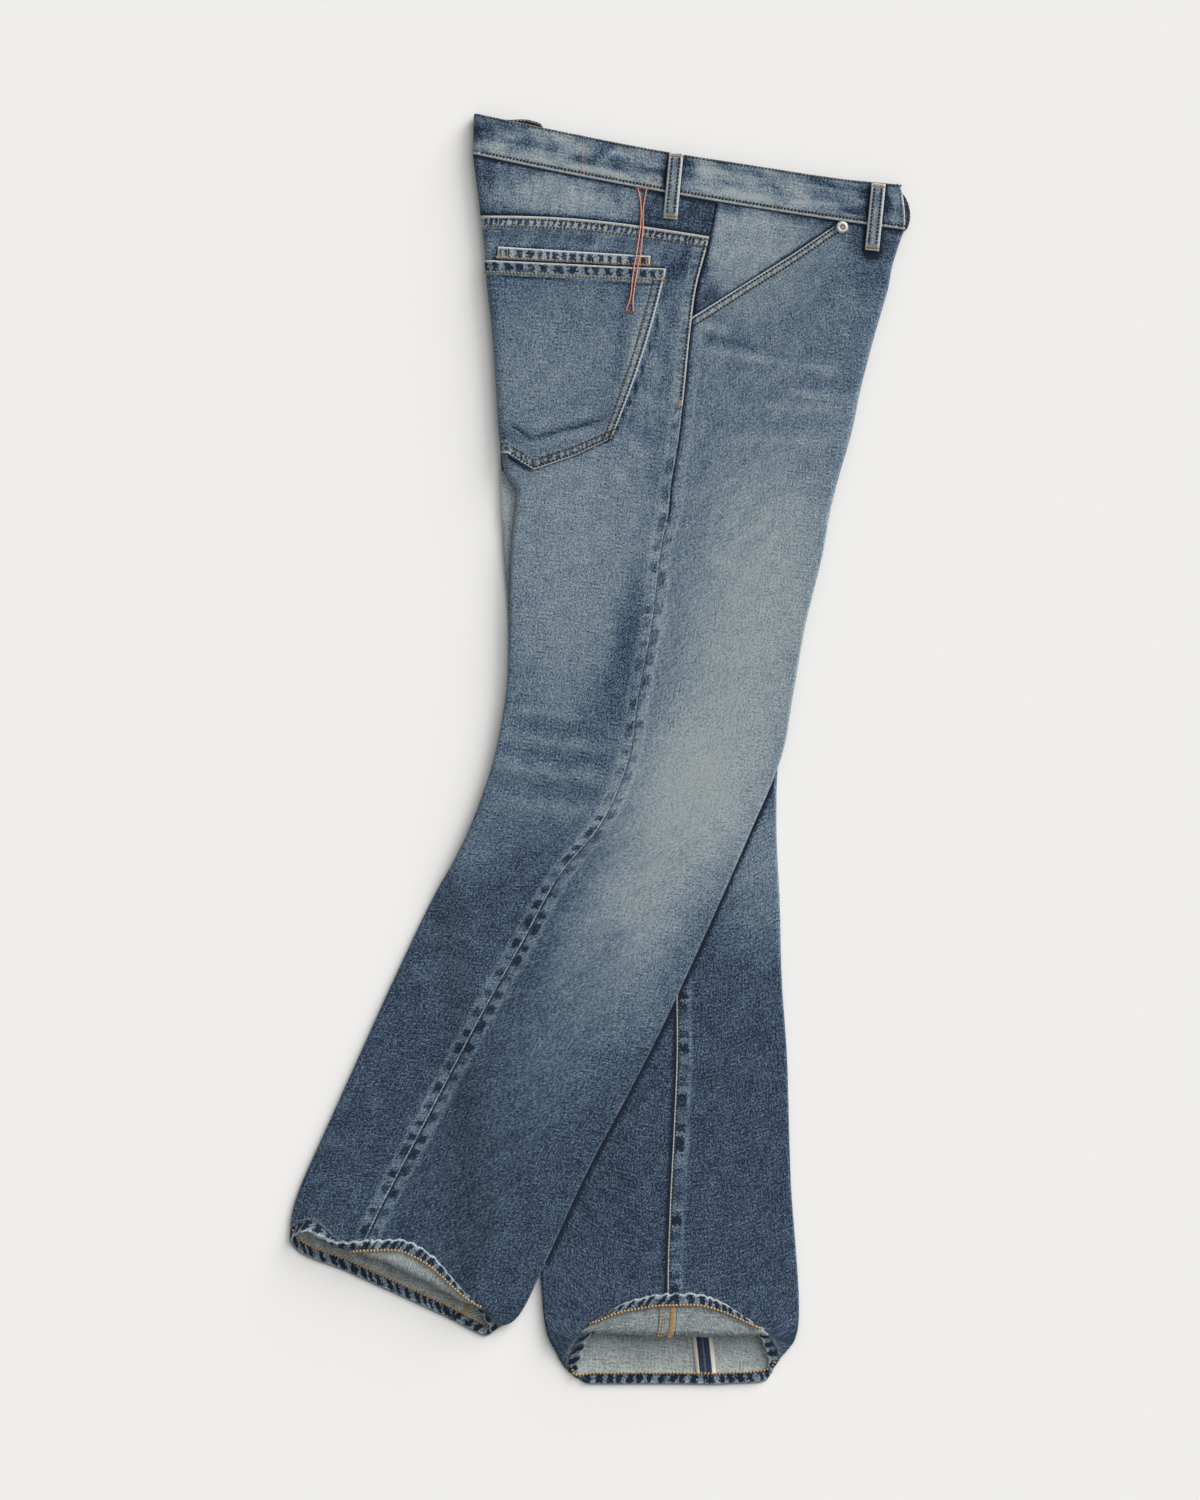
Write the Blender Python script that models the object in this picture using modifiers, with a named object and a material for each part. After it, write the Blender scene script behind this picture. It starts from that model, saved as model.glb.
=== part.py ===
"""Regular-fit jeans, laid flat on their left side with the right leg bent back at the knee.

Metres, +Z up. The waist is at +Y and the front of the body at +X. The left half lies on the surface
at z = 0 and the right half on top of it. Sizes and tables are in millimetres until MM is applied.
"""

from collections import namedtuple
from math import cos, pi, radians, sin

import bpy
import numpy as np

MM = 0.001
SEAM_GAP = 0.3  # between any two pieces
CLOTH = 1.2  # denim
HEM_WALL = 2.4  # denim turned up double
HEM_HEIGHT = 12.0
BAND_WALL = 3.0  # waistband, double with its interlining
STRIP_WALL = 1.0
LOOP_WALL = 1.8
LEG_HEIGHT = 5.8  # one leg laid flat, outside to outside
LEG_GAP = 0.4  # between the two legs
TOP = 2 * LEG_HEIGHT + LEG_GAP  # outside of the upper half
BAND_TOP = TOP + 0.9
RIVET_RADIUS = 5.8
RIVET_HEIGHT = 1.6
THREAD_DIAMETER = 1.2

RISE_END = 305.0  # down the side seam from the waistband, where the two legs part
CROTCH_DIP = 46.0  # how far the inseam point lies below the ends of the crotch seam
CROTCH_JOIN = 150.0
EDGE_BLEND = 26.0  # length over which a fold narrows from the hips' radius to the leg's
EDGE_SPLIT = 0.8  # between the halves' edges at the middle of the back and of the front
RIM_GAP = 1.1  # between panels at the open hems, where their walls lean together
RAMP = 42.0  # the lower right leg slopes to the surface over this width
RAMP_CLEAR = 42.0  # and has its full height this far outside the left leg's edge
SLANT_DROP = 112.0  # the front pocket's opening meets the side seam this far down
SLANT_END = 0.69  # and the waistband this share of the way from side seam to front edge
SLANT_BOW = 10.0
SLANT_JOIN = 150.0
FACING_UNDERLAP = 12.0  # how far the pocket's facing runs under the opening's edge
FACING_SINK = 30.0  # over how long it sinks to get there
FACING_PAST_END = 0.06  # how far on, as a share across, it runs at the opening's upper end
YOKE_DEPTH = 34.0
YOKE_BOW = 3.5  # the yoke seam's middle lies this much above its ends' line
YOKE_JOIN = 60.0

Section = namedtuple("Section", "name back seam front")
Inseam = namedtuple("Inseam", "down across")
Rim = namedtuple("Rim", "turn x y z lift ax ay az start finish")
Band = namedtuple("Band", "across lean height")
Far = namedtuple("Far", "across rise")
Loop = namedtuple("Loop", "name top foot width")
Lift = namedtuple("Lift", "part lift")

HIP_SECTIONS = (
    Section("waist", (-121, 566), (110, 521), (289, 494)),
    Section("yoke", (-113, 502), (103, 484), (279, 464)),
    Section("pocket top", (-106, 437), (91, 437), (273, 435)),
    Section("hip", (-102, 399), (86, 399), (263, 401)),
    Section("seat", (-98, 342), (80, 340), (248, 344)),
)

RIGHT_SECTIONS = HIP_SECTIONS + (
    Section("seat low", (-94, 290), (73, 283), (236, 290)),
    Section("rise end", (-90, 263), (69, 260), (228, 263)),
    Section("crotch", (-80, 247), (67, 247), (224, 248)),
    Section("under crotch", (-81, 233), (66, 232), (220, 232)),
    Section("thigh", (-84, 190), (58, 190), (212, 188)),
    Section("mid thigh", (-86, 124), (50, 124), (196, 122)),
    Section("low thigh", (-89, 57), (37, 53), (184, 55)),
    Section("knee", (-101, -8), (27, -10), (172, -8)),
    Section("under knee", (-118, -59), (3, -67), (142, -80)),
    Section("calf top", (-138, -103), (-41, -123), (110, -153)),
    Section("calf", (-155, -133), (-67, -171), (74, -232)),
    Section("mid shin", (-196, -218), (-114, -255), (32, -317)),
    Section("low shin", (-235, -304), (-158, -339), (-12, -400)),
    Section("mouth", (-274, -390), (-201, -421), (-51, -485)),
)

LEFT_SECTIONS = HIP_SECTIONS + (
    Section("seat low", (-95, 290), (73, 283), (236, 290)),
    Section("rise end", (-95, 263), (69, 260), (227, 263)),
    Section("crotch", (-94, 247), (67, 247), (223, 248)),
    Section("thigh", (-92, 190), (62, 190), (210, 188)),
    Section("mid thigh", (-88, 124), (57, 124), (194, 122)),
    Section("low thigh", (-89, 57), (52, 53), (182, 55)),
    Section("knee", (-96, -8), (52, -10), (170, -8)),
    Section("calf top", (-88, -76), (62, -76), (168, -76)),
    Section("calf", (-83, -142), (69, -142), (171, -142)),
    Section("mid shin", (-75, -218), (78, -218), (173, -218)),
    Section("low shin", (-69, -293), (86, -293), (178, -293)),
    Section("ankle", (-65, -361), (91, -361), (180, -361)),
    Section("low ankle", (-61, -418), (95, -418), (182, -418)),
    Section("mouth", (-58, -470), (97, -470), (186, -470)),
)
LEFT_LEG_EDGE = np.array([s.back for s in LEFT_SECTIONS if s.back[1] < 100], float)

# Where the inseam runs on the inner layer, from -1 at the back edge to 1 at the front edge,
# against how far down the side seam.
RIGHT_INSEAM = (Inseam(0, 0.2), Inseam(305, 0.22), Inseam(560, 0.3), Inseam(1010, 0.42))
LEFT_INSEAM = (
    Inseam(0, 0.3),
    Inseam(305, 0.3),
    Inseam(560, 0.25),
    Inseam(750, 0.186),
    Inseam(890, 0.1),
    Inseam(1000, 0.005),
)

# The open hems. turn goes round the leg from the middle of its lower layer (0) by the back edge
# (0.25), the middle of its upper layer (0.5) and the front edge (0.75). x, y, z is the hem's edge,
# a the way the cloth runs when it reaches the edge, start and finish how straight it leaves the leg
# and reaches the edge, lift how much it rises on the way.
LEFT_RIM = (
    Rim(0.000, 72, -604, 0.0, 0, 0.00, -1.00, 0.00, 45, 45),
    Rim(0.100, 24, -604, 0.0, 0, 0.00, -1.00, 0.00, 45, 45),
    Rim(0.150, 1, -604, 0.0, 0, 0.05, -1.00, 0.00, 50, 38),
    Rim(0.192, -16, -602, 0.8, 0, 0.84, -0.54, 0.02, 88, 38),
    Rim(0.235, -20, -587, 4.5, 0, 0.95, -0.30, 0.02, 94, 36),
    Rim(0.256, -16, -572, 7.2, 0, 1.00, 0.00, 0.05, 94, 40),
    Rim(0.310, -6, -551, 10.5, 2, 0.95, 0.30, 0.00, 95, 40),
    Rim(0.380, 19, -527, 12.0, 3, 0.60, 0.80, -0.05, 100, 55),
    Rim(0.440, 48, -518, 12.5, 3, 0.20, 0.98, -0.10, 100, 62),
    Rim(0.500, 72, -516, 12.5, 3, 0.00, 1.00, -0.12, 100, 65),
    Rim(0.560, 97, -517, 12.5, 3, -0.15, 0.98, -0.10, 100, 64),
    Rim(0.620, 124, -529, 12.0, 3, -0.50, 0.87, -0.05, 98, 55),
    Rim(0.690, 149, -553, 10.5, 2, -0.95, 0.30, 0.00, 92, 40),
    Rim(0.750, 158, -574, 7.5, 0, -1.00, 0.00, 0.05, 88, 34),
    Rim(0.790, 161, -590, 3.5, 0, -0.90, -0.20, 0.10, 82, 16),
    Rim(0.824, 160, -599, 0.3, 0, -0.25, -0.97, 0.02, 60, 25),
    Rim(0.900, 120, -604, 0.0, 0, 0.00, -1.00, 0.00, 45, 45),
)

RIGHT_RIM = (
    Rim(0.000, -186, -522, 0.0, 0, -0.40, -0.92, 0.00, 30, 25),
    Rim(0.125, -241, -497, 0.0, 0, -0.40, -0.92, 0.00, 30, 25),
    Rim(0.235, -292, -473, 0.0, 0, -0.10, -1.00, 0.00, 34, 25),
    Rim(0.250, -295, -468, 3.4, 0, 0.02, -1.00, 0.00, 36, 28),
    Rim(0.273, -288, -459, 9.0, 0, -0.10, 0.10, 0.50, 38, 9),
    Rim(0.357, -247, -466, 13.0, 2, 0.35, 0.75, 0.40, 50, 20),
    Rim(0.423, -215, -465, 13.5, 3, 0.40, 0.90, 0.00, 62, 34),
    Rim(0.497, -180, -467, 12.5, 3, 0.40, 0.92, -0.10, 70, 43),
    Rim(0.534, -164, -476, 12.0, 3, 0.20, 0.97, -0.10, 72, 43),
    Rim(0.613, -138, -504, 11.5, 2, -0.35, 0.93, 0.00, 72, 38),
    Rim(0.685, -117, -531, 9.5, 1, -0.85, 0.52, 0.00, 68, 34),
    Rim(0.750, -107, -546, 6.0, 0, -0.95, 0.25, 0.05, 55, 30),
    Rim(0.790, -104, -555, 2.8, 0, -0.80, -0.30, 0.10, 52, 16),
    Rim(0.820, -108, -558, 0.3, 0, -0.50, -0.85, 0.02, 45, 25),
    Rim(0.910, -147, -540, 0.0, 0, -0.40, -0.92, 0.00, 30, 25),
)

# The waistband stands on the waist seam: how far its upper edge leans to the front and rises.
BAND_FORM = (
    Band(-1.0, 1.0, 39.0),
    Band(-0.6, 4.0, 38.5),
    Band(-0.2, 5.0, 38.0),
    Band(0.3, 4.0, 39.5),
    Band(0.7, 2.0, 40.0),
    Band(1.0, -4.0, 43.0),
)
NEAR_ACROSS = (1.0, 0.85, 0.6, 0.35, 0.1, -0.15, -0.4, -0.65, -0.85)
# How much higher the far side's upper edge stands than the near side's. It shows above it near
# the back.
FAR_SIDE = (
    Far(-0.885, 0.3),
    Far(-0.835, 2.2),
    Far(-0.788, 4.8),
    Far(-0.756, 5.9),
    Far(-0.723, 5.6),
    Far(-0.698, 4.4),
    Far(-0.687, 0.5),
    Far(-0.66, -3.0),
    Far(-0.4, -3.0),
    Far(0.0, -3.5),
    Far(0.4, -4.0),
    Far(0.75, -4.5),
    Far(1.0, -6.0),
)
BAND_HEIGHTS = (0.0, 0.25, 0.7, 1.0)
BAND_FOLD = (90, 60, 30, 0, -30, -60, -90)
NEAR_BULGE, FAR_BULGE = 2.0, 8.0  # how far each end is rounded beyond its corners

# Back pocket: its top corners, the fullness of its slanted side, and its lower edge from the back.
POCKET_TOP = ((-107, 465), (63, 457))
POCKET_SIDE_BULGE = 4.0
POCKET_FOOT = ((-93, 282), (-67, 266), (-27, 279), (11, 296))
STRIP_TOP = ((-97, 478), (48, 469))
STRIP_FOOT = ((-98, 466.3), (47, 459))

LOOPS = (
    Loop("belt_loop_side", (72.5, 567), (66.5, 504), 13.5),
    Loop("belt_loop_front", (264.5, 538), (258, 474), 13.5),
)
# The underside of a belt loop above the waistband, along its length from the top.
LOOP_PROFILE = (
    Lift(0.0, 0.3),
    Lift(0.08, 1.6),
    Lift(0.3, 2.3),
    Lift(0.6, 2.2),
    Lift(0.85, 0.9),
    Lift(1.0, -0.6),
)
RIVET_PLACE = (230, 496.3)

THREADS = {
    "loose_thread_back": (
        (36, 533), (38.3, 522), (39.0, 511), (38.4, 498), (37, 486), (34.8, 472),
        (32.2, 458), (30.6, 446), (29.6, 435), (28.2, 427), (25, 419),
    ),
    "loose_thread_front": (
        (44, 532), (42.2, 522), (40.7, 511), (40.9, 498), (40, 486), (38.4, 472),
        (35.8, 458), (33.8, 446), (32.2, 435), (31.2, 427), (31.5, 418),
    ),
}  # fmt: skip
THREAD_CLIMB = (492.0, 8.0)  # below this y, and over this length, the threads rise on to the strip

# How finely the pieces are divided.
THREAD_STEP = 3.0
ROWS = (
    10, 22, 39, 62, 90, 120, 155, 190, 225, 258, 282, RISE_END, 318, 331, 352, 385, 425, 470, 510,
    542, 570, 598, 628, 662, 705, 760, 820, 880, 940, 985,
)  # fmt: skip
FRONT_SHARES = (0.0, 0.14, 0.28, 0.42, 0.56, SLANT_END, 0.85, 1.0)
BACK_SHARES = (0.0, 0.17, 0.34, 0.5, 0.67, 0.84, 1.0)
INNER_SHARES = (0.0, 0.25, 0.5, 0.75, 1.0)
FOLD_ANGLES = tuple(radians(angle) for angle in (52, 18, 0, -45))
MOUTH_ROWS = 7
CURVE_STEPS = 49
ROW_SPACE = 8.0  # the least between a panel's upper edge and its next row
FACING_ROWS = 8
POCKET_COLUMNS, POCKET_ROWS = 8, 9
STRIP_COLUMNS = 7
SMALL_DOWN, SMALL_ACROSS = 0.5, 0.0005  # steps that measure which way the cloth faces


def curve_through(knots, values):
    """A smooth curve that passes through the values at the knots."""
    knots = np.asarray(knots, float)
    values = np.asarray(values, float)
    slopes = np.gradient(values, knots, axis=0)

    def at(where):
        where = np.clip(np.asarray(where, float), knots[0], knots[-1])
        i = np.clip(np.searchsorted(knots, where, side="right") - 1, 0, len(knots) - 2)
        width = knots[i + 1] - knots[i]
        t = (where - knots[i]) / width
        if values.ndim > 1:
            t, width = t[..., None], width[..., None]
        rise = 3 * t**2 - 2 * t**3
        leave = (t**3 - 2 * t**2 + t) * width
        reach = (t**3 - t**2) * width
        ends = values[i] * (1 - rise) + values[i + 1] * rise
        return ends + slopes[i] * leave + slopes[i + 1] * reach

    return at


def distances(points):
    """How far along a polyline each of its points lies."""
    steps = np.linalg.norm(np.diff(np.asarray(points, float), axis=0), axis=1)
    return np.concatenate([[0.0], np.cumsum(steps)])


def resampled(points, where):
    """Points of a polyline at given distances along it."""
    points = np.asarray(points, float)
    along = distances(points)
    return np.stack([np.interp(where, along, axis) for axis in points.T], axis=1)


def smoothstep(x):
    x = np.clip(x, 0.0, 1.0)
    return x * x * (3 - 2 * x)


def unit(vectors):
    return vectors / np.linalg.norm(vectors, axis=-1, keepdims=True)


def length_of(vectors):
    return np.linalg.norm(vectors, axis=-1)


class Half:
    """One half of the jeans: its layer of the hips, and its leg.

    down is the distance down the side seam from the waistband, and across runs from -1 at the back
    edge to 1 at the front edge.
    """

    def __init__(self, sections, inseam, rim, upper):
        self.upper = upper
        self.stations = distances([s.seam for s in sections])
        self.length = self.stations[-1]
        self.back = curve_through(self.stations, [s.back for s in sections])
        self.seam = curve_through(self.stations, [s.seam for s in sections])
        self.front = curve_through(self.stations, [s.front for s in sections])
        self.inseam = curve_through(*zip(*inseam))
        around = [rim[-1]._replace(turn=rim[-1].turn - 1), *rim, rim[0]._replace(turn=1.0)]
        self.rim = curve_through([r.turn for r in around], [r[1:] for r in around])
        self.outer_level = TOP if upper else 0.0
        self.inner_level = LEG_HEIGHT + LEG_GAP if upper else LEG_HEIGHT

    def frame(self, down):
        """The section's middle, half-width vector and bow, and where across its side seam lies."""
        back, seam, front = self.back(down), self.seam(down), self.front(down)
        middle, half = (back + front) / 2, (front - back) / 2
        at_seam = ((seam - middle) * half).sum(-1) / (half * half).sum(-1)
        bow = (seam - middle - at_seam[..., None] * half) / (1 - at_seam**2)[..., None]
        return middle, half, bow, at_seam

    def flat(self, down, across):
        """The place of a point of the section, seen from above."""
        middle, half, bow, _ = self.frame(down)
        across = np.asarray(across, float)[..., None]
        return middle + across * half + (1 - across**2) * bow

    def edge_level(self, down):
        hips = (TOP + (EDGE_SPLIT if self.upper else -EDGE_SPLIT)) / 2
        leg = (self.outer_level + self.inner_level) / 2
        return hips + (leg - hips) * smoothstep((down - RISE_END + EDGE_BLEND / 3) / EDGE_BLEND)

    def radius(self, down):
        hips, leg = TOP / 2, LEG_HEIGHT / 2
        return hips + (leg - hips) * smoothstep((down - RISE_END + EDGE_BLEND) / (2 * EDGE_BLEND))

    def tangent(self, down):
        """Where across the flat layers end and the folded edge begins."""
        return 1 - self.radius(down) / length_of(self.frame(down)[1])

    def rest_drop(self, place):
        """How far the upper leg sinks where the lower leg isn't under it."""
        if not self.upper:
            return np.zeros(place.shape[:-1])
        edge = np.interp(-place[..., 1], -LEFT_LEG_EDGE[:, 1], LEFT_LEG_EDGE[:, 0])
        off = 1 - smoothstep((place[..., 0] - edge + RAMP_CLEAR + RAMP) / RAMP)
        parted = smoothstep((LEFT_LEG_EDGE[0, 1] - place[..., 1]) / RAMP)
        return (LEG_HEIGHT + LEG_GAP) * off * parted

    def point(self, down, across, level):
        place = self.flat(down, across)
        return np.concatenate([place, (level - self.rest_drop(place))[..., None]], axis=-1)

    def outer(self, down, across):
        """A point of the outer layer, round to the tip of its folded edge."""
        tangent = self.tangent(down)
        beyond = np.clip((np.abs(across) - tangent) / (1 - tangent), 0, 1)
        edge = self.edge_level(down)
        level = edge + (self.outer_level - edge) * np.sqrt(1 - beyond**2)
        return self.point(down, across, level)

    def folded(self, down, side, angle):
        """A point of the folded edge: angle pi/2 at the outer layer, 0 at the tip, -pi/2 inside."""
        tangent = self.tangent(down)
        edge = self.edge_level(down)
        target = self.outer_level if angle >= 0 else self.inner_level
        level = edge + (target - edge) * abs(sin(angle))
        return self.point(down, side * (tangent + (1 - tangent) * cos(angle)), level)

    def inner(self, down, across):
        return self.point(down, across, np.full(np.shape(across), float(self.inner_level)))

    def locate(self, places):
        """down and across of places on the outer layer, by Newton's method from a coarse search."""
        downs, crosses = np.meshgrid(
            np.linspace(0, self.length, 90), np.linspace(-1, 1, 33), indexing="ij"
        )
        known = self.flat(downs, crosses)
        far = ((known - places[..., None, None, :]) ** 2).sum(-1)
        nearest = far.reshape(*places.shape[:-1], -1).argmin(-1)
        down, across = downs.reshape(-1)[nearest], crosses.reshape(-1)[nearest]
        for _ in range(6):
            here = self.flat(down, across)
            miss = places - here
            by_down = (self.flat(down + SMALL_DOWN, across) - here) / SMALL_DOWN
            by_across = (self.flat(down, across + SMALL_ACROSS) - here) / SMALL_ACROSS
            area = by_down[..., 0] * by_across[..., 1] - by_down[..., 1] * by_across[..., 0]
            step = miss[..., 0] * by_across[..., 1] - miss[..., 1] * by_across[..., 0]
            aside = by_down[..., 0] * miss[..., 1] - by_down[..., 1] * miss[..., 0]
            down = np.clip(down + step / area, 0, self.length)
            across = np.clip(across + aside / area, -1, 1)
        return down, across

    def above(self, down, across, lift):
        """Points of the outer layer moved out from the cloth by lift."""
        here = self.outer(down, across)
        aside = SMALL_ACROSS * np.where(across > 0, -1, 1)
        by_across = (self.outer(down, across + aside) - here) * np.sign(aside)[..., None]
        by_down = self.outer(down + SMALL_DOWN, across) - here
        return here + unit(np.cross(by_across, -by_down)) * lift

    def turn(self, kind, share, side):
        """How far round the leg a point lies, from the middle of the lower layer by the back edge."""
        down = np.array(self.length)
        half, radius = length_of(self.frame(down)[1]), self.radius(down)
        quarter = half - radius + pi / 2 * radius
        if kind == "fold":
            arc = quarter + radius * (share if self.upper else -share)
        elif (kind == "outer") == self.upper:
            arc = 2 * quarter - abs(share) * half
        else:
            arc = abs(share) * half
        return (4 * quarter - arc if side > 0 else arc) / (4 * quarter)


class Column:
    """One line of points down a panel, from its upper edge to the hem.

    share is the part of the way across the outer or inner layer, or the angle round the fold.
    """

    def __init__(self, kind, share, start=0.0, join=1.0):
        self.kind = kind
        self.share = share
        self.start = start
        self.join = join

    @property
    def inside(self):
        return self.kind == "inner" or (self.kind == "fold" and self.share < 0)

    def across(self, half, side, down, gap):
        """Where across the section the column runs, half a gap away from the seam it starts at."""
        _, width, _, at_seam = half.frame(down)
        tangent = side * half.tangent(down)
        aside = side * gap / 2 / length_of(width)
        if self.kind == "outer":
            return at_seam + aside + (tangent - at_seam - aside) * self.share
        return tangent + (half.inseam(down) + aside - tangent) * self.share

    def points(self, half, side, rows, top):
        """The points down to where the open hem begins."""
        down = rows + self.start * np.clip(1 - (rows - top) / self.join, 0, 1)
        if self.kind == "fold":
            return half.folded(down, side, self.share)
        layer = half.outer if self.kind == "outer" else half.inner
        return layer(down, self.across(half, side, down, SEAM_GAP))

    def mouth(self, half, side, body):
        """The last stretch, from the leg to the edge of the open hem."""
        if self.kind == "fold":
            turn = half.turn("fold", self.share, side)
        else:
            across = float(self.across(half, side, np.array(half.length), RIM_GAP))
            turn = half.turn(self.kind, across, across)
        rim = half.rim(np.array(turn % 1.0))
        edge, lift, arrive, start, finish = rim[:3], rim[3], rim[4:7], rim[7], rim[8]
        first = body[-1]
        second = first + unit(body[-1] - body[-2]) * start + np.array([0, 0, lift])
        third = edge - arrive * finish
        t = np.linspace(0, 1, CURVE_STEPS)[:, None]
        path = (1 - t) ** 3 * first + 3 * (1 - t) ** 2 * t * second
        path = path + 3 * (1 - t) * t**2 * third + t**3 * edge
        path[:, 2] = np.maximum(path[:, 2], 0.0)
        total = distances(path)[-1]
        along = np.append(np.linspace(0, total - HEM_HEIGHT, MOUTH_ROWS)[1:], total)
        return resampled(path, along)


def clear_scene():
    for old in list(bpy.data.objects):
        bpy.data.objects.remove(old)


def material(name, colour, roughness, metallic=0.0):
    made = bpy.data.materials.new(name)
    made.use_nodes = True
    shader = made.node_tree.nodes["Principled BSDF"]
    shader.inputs["Base Color"].default_value = (*colour, 1.0)
    shader.inputs["Roughness"].default_value = roughness
    shader.inputs["Metallic"].default_value = metallic
    return made


def placed(name, data, surface):
    made = bpy.data.objects.new(name, data)
    data.materials.append(surface)
    GARMENT.objects.link(made)
    return made


def sheet(name, points, wall, surface, there=None, thick=None, flip=False):
    """A sheet through a grid of its outer points, with its wall added on the inner side.

    there marks the grid points it has, and thick gives each one's share of the wall.
    """
    there = np.ones(points.shape[:2], bool) if there is None else there
    index = np.full(there.shape, -1)
    index[there] = np.arange(there.sum())
    faces = []
    for i in range(there.shape[0] - 1):
        for j in range(there.shape[1] - 1):
            corners = index[i, j], index[i + 1, j], index[i + 1, j + 1], index[i, j + 1]
            if min(corners) >= 0:
                faces.append(corners[::-1] if flip else corners)
    mesh = bpy.data.meshes.new(name)
    mesh.from_pydata((points[there] * MM).tolist(), [], faces)
    mesh.shade_smooth()
    made = placed(name, mesh, surface)
    solid = made.modifiers.new("wall", "SOLIDIFY")
    solid.thickness = wall * MM
    solid.offset = -1.0
    if thick is not None:
        group = made.vertex_groups.new(name="wall")
        for vertex, share in enumerate(thick[there]):
            group.add([vertex], float(share), "REPLACE")
        solid.vertex_group = "wall"
    return made


def panel(name, half, side, top, shares, start_of, join, surface):
    """A front or back panel: from its upper edge down to the hem, and round the fold to the inseam."""
    columns = [Column("outer", share, start_of(share), join) for share in shares]
    columns += [Column("fold", angle) for angle in FOLD_ANGLES]
    columns += [
        Column("inner", share, CROTCH_DIP * sin(share * pi / 2), CROTCH_JOIN) for share in INNER_SHARES
    ]
    rows = [row for row in ROWS if top + ROW_SPACE < row < half.length - ROW_SPACE]
    rows = np.array([top, *rows, half.length])
    lines = []
    for column in columns:
        body = column.points(half, side, rows, RISE_END if column.inside else top)
        lines.append(np.concatenate([body, column.mouth(half, side, body)]))
    points = np.stack(lines, axis=1)
    there = np.ones(points.shape[:2], bool)
    above_crotch = np.append(rows < RISE_END, np.zeros(MOUTH_ROWS, bool))
    there[np.ix_(above_crotch, [column.inside for column in columns])] = False
    thick = np.full(there.shape, CLOTH / HEM_WALL)
    thick[-2:] = 1.0
    return sheet(name, points, HEM_WALL, surface, there, thick, flip=(side > 0) != half.upper)


def front_start(share):
    """How far below the waistband the front panel begins, along the pocket's slanted opening."""
    if share >= SLANT_END:
        return 0.0
    part = share / SLANT_END
    return SLANT_DROP * (1 - part) + SLANT_BOW * sin(pi * part)


def yoke_edge(share):
    return -YOKE_BOW * sin(pi * share)


def yoke(name, half, surface):
    rows = np.array([SEAM_GAP, YOKE_DEPTH / 3, 2 * YOKE_DEPTH / 3, YOKE_DEPTH - SEAM_GAP])
    columns = [Column("outer", share) for share in BACK_SHARES]
    columns += [Column("fold", angle) for angle in FOLD_ANGLES if angle >= 0]
    lines = []
    for column in columns:
        bow = yoke_edge(column.share) if column.kind == "outer" else 0.0
        lines.append(column.points(half, -1, rows + bow * rows / YOKE_DEPTH, 0.0))
    return sheet(name, np.stack(lines, axis=1), CLOTH, surface, flip=half.upper)


def pocket_facing(half, surface):
    """The cloth that shows in the slanted opening and sinks to run on under its edge."""
    lines = []
    for share in (*[s for s in FRONT_SHARES if s <= SLANT_END], SLANT_END + FACING_PAST_END):
        opening = front_start(share)
        down = np.linspace(SEAM_GAP, opening + FACING_UNDERLAP, FACING_ROWS)
        column = Column("outer", share)
        line = half.outer(down, column.across(half, 1, down, 3 * SEAM_GAP))
        line[:, 2] -= (CLOTH + SEAM_GAP) * np.clip(1 - (opening - down) / FACING_SINK, 0, 1)
        lines.append(line)
    return sheet("right_pocket_facing", np.stack(lines, axis=1), CLOTH, surface)


def waistband(surface):
    """One strip round the waist, from the near front end by the back fold to the far front end."""
    form = curve_through([b.across for b in BAND_FORM], [b[1:] for b in BAND_FORM])
    start = np.array(0.0)
    radius = BAND_TOP / 2
    tangent = 1 - radius / length_of(RIGHT.frame(start)[1])

    def column(across, level, rise, bulge=0.0):
        foot = RIGHT.flat(start, across)
        lean, height = form(across)
        line = []
        for part in BAND_HEIGHTS:
            x = foot[0] + lean * part + bulge * sin(pi * part) ** 0.5
            line.append((x, foot[1] + (height + rise) * part, level))
        return line

    lines = [column(across, BAND_TOP, 0.0, NEAR_BULGE * (across == 1.0)) for across in NEAR_ACROSS]
    for angle in BAND_FOLD:
        across = -(tangent + (1 - tangent) * cos(radians(angle)))
        lines.append(column(across, radius + radius * sin(radians(angle)), 0.0))
    lines += [column(far.across, 0.0, far.rise, FAR_BULGE * (far.across == 1.0)) for far in FAR_SIDE]
    return sheet("waistband", np.array(lines), BAND_WALL, surface, flip=True)


def between(first, last, count):
    """count places evenly from first to last."""
    return np.array([np.linspace(a, b, count) for a, b in zip(first, last)]).T


def laid_on(name, places, wall, surface, folds=()):
    """A sheet that lies on the right half. With folds its back edge goes round the folded edge."""
    down, across = RIGHT.locate(places)
    if folds:
        tangent = RIGHT.tangent(down[:, 0])
        across[:, 0] = -tangent
        beyond = [-(tangent + (1 - tangent) * cos(angle)) for angle in folds]
        down = np.concatenate([down[:, :1]] * len(folds) + [down], axis=1)
        across = np.concatenate([np.stack(beyond, axis=1), across], axis=1)
    points = RIGHT.above(down, across, SEAM_GAP + wall)
    return sheet(name, points, wall, surface)


def back_pocket(surface):
    top = between(*POCKET_TOP, POCKET_COLUMNS)
    half_way = POCKET_COLUMNS // 2
    foot = [POCKET_FOOT[:1], between(POCKET_FOOT[1], POCKET_FOOT[2], half_way)]
    foot = np.concatenate([*foot, between(POCKET_FOOT[2], POCKET_FOOT[3], half_way)[1:]])
    places = []
    for part in np.linspace(0, 1, POCKET_ROWS):
        row = top + (foot - top) * part
        row[:, 0] += POCKET_SIDE_BULGE * sin(pi * part) * np.linspace(0, 1, POCKET_COLUMNS)
        places.append(row)
    return laid_on("right_back_pocket", np.array(places), CLOTH, surface, FOLD_ANGLES[1::-1])


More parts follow.
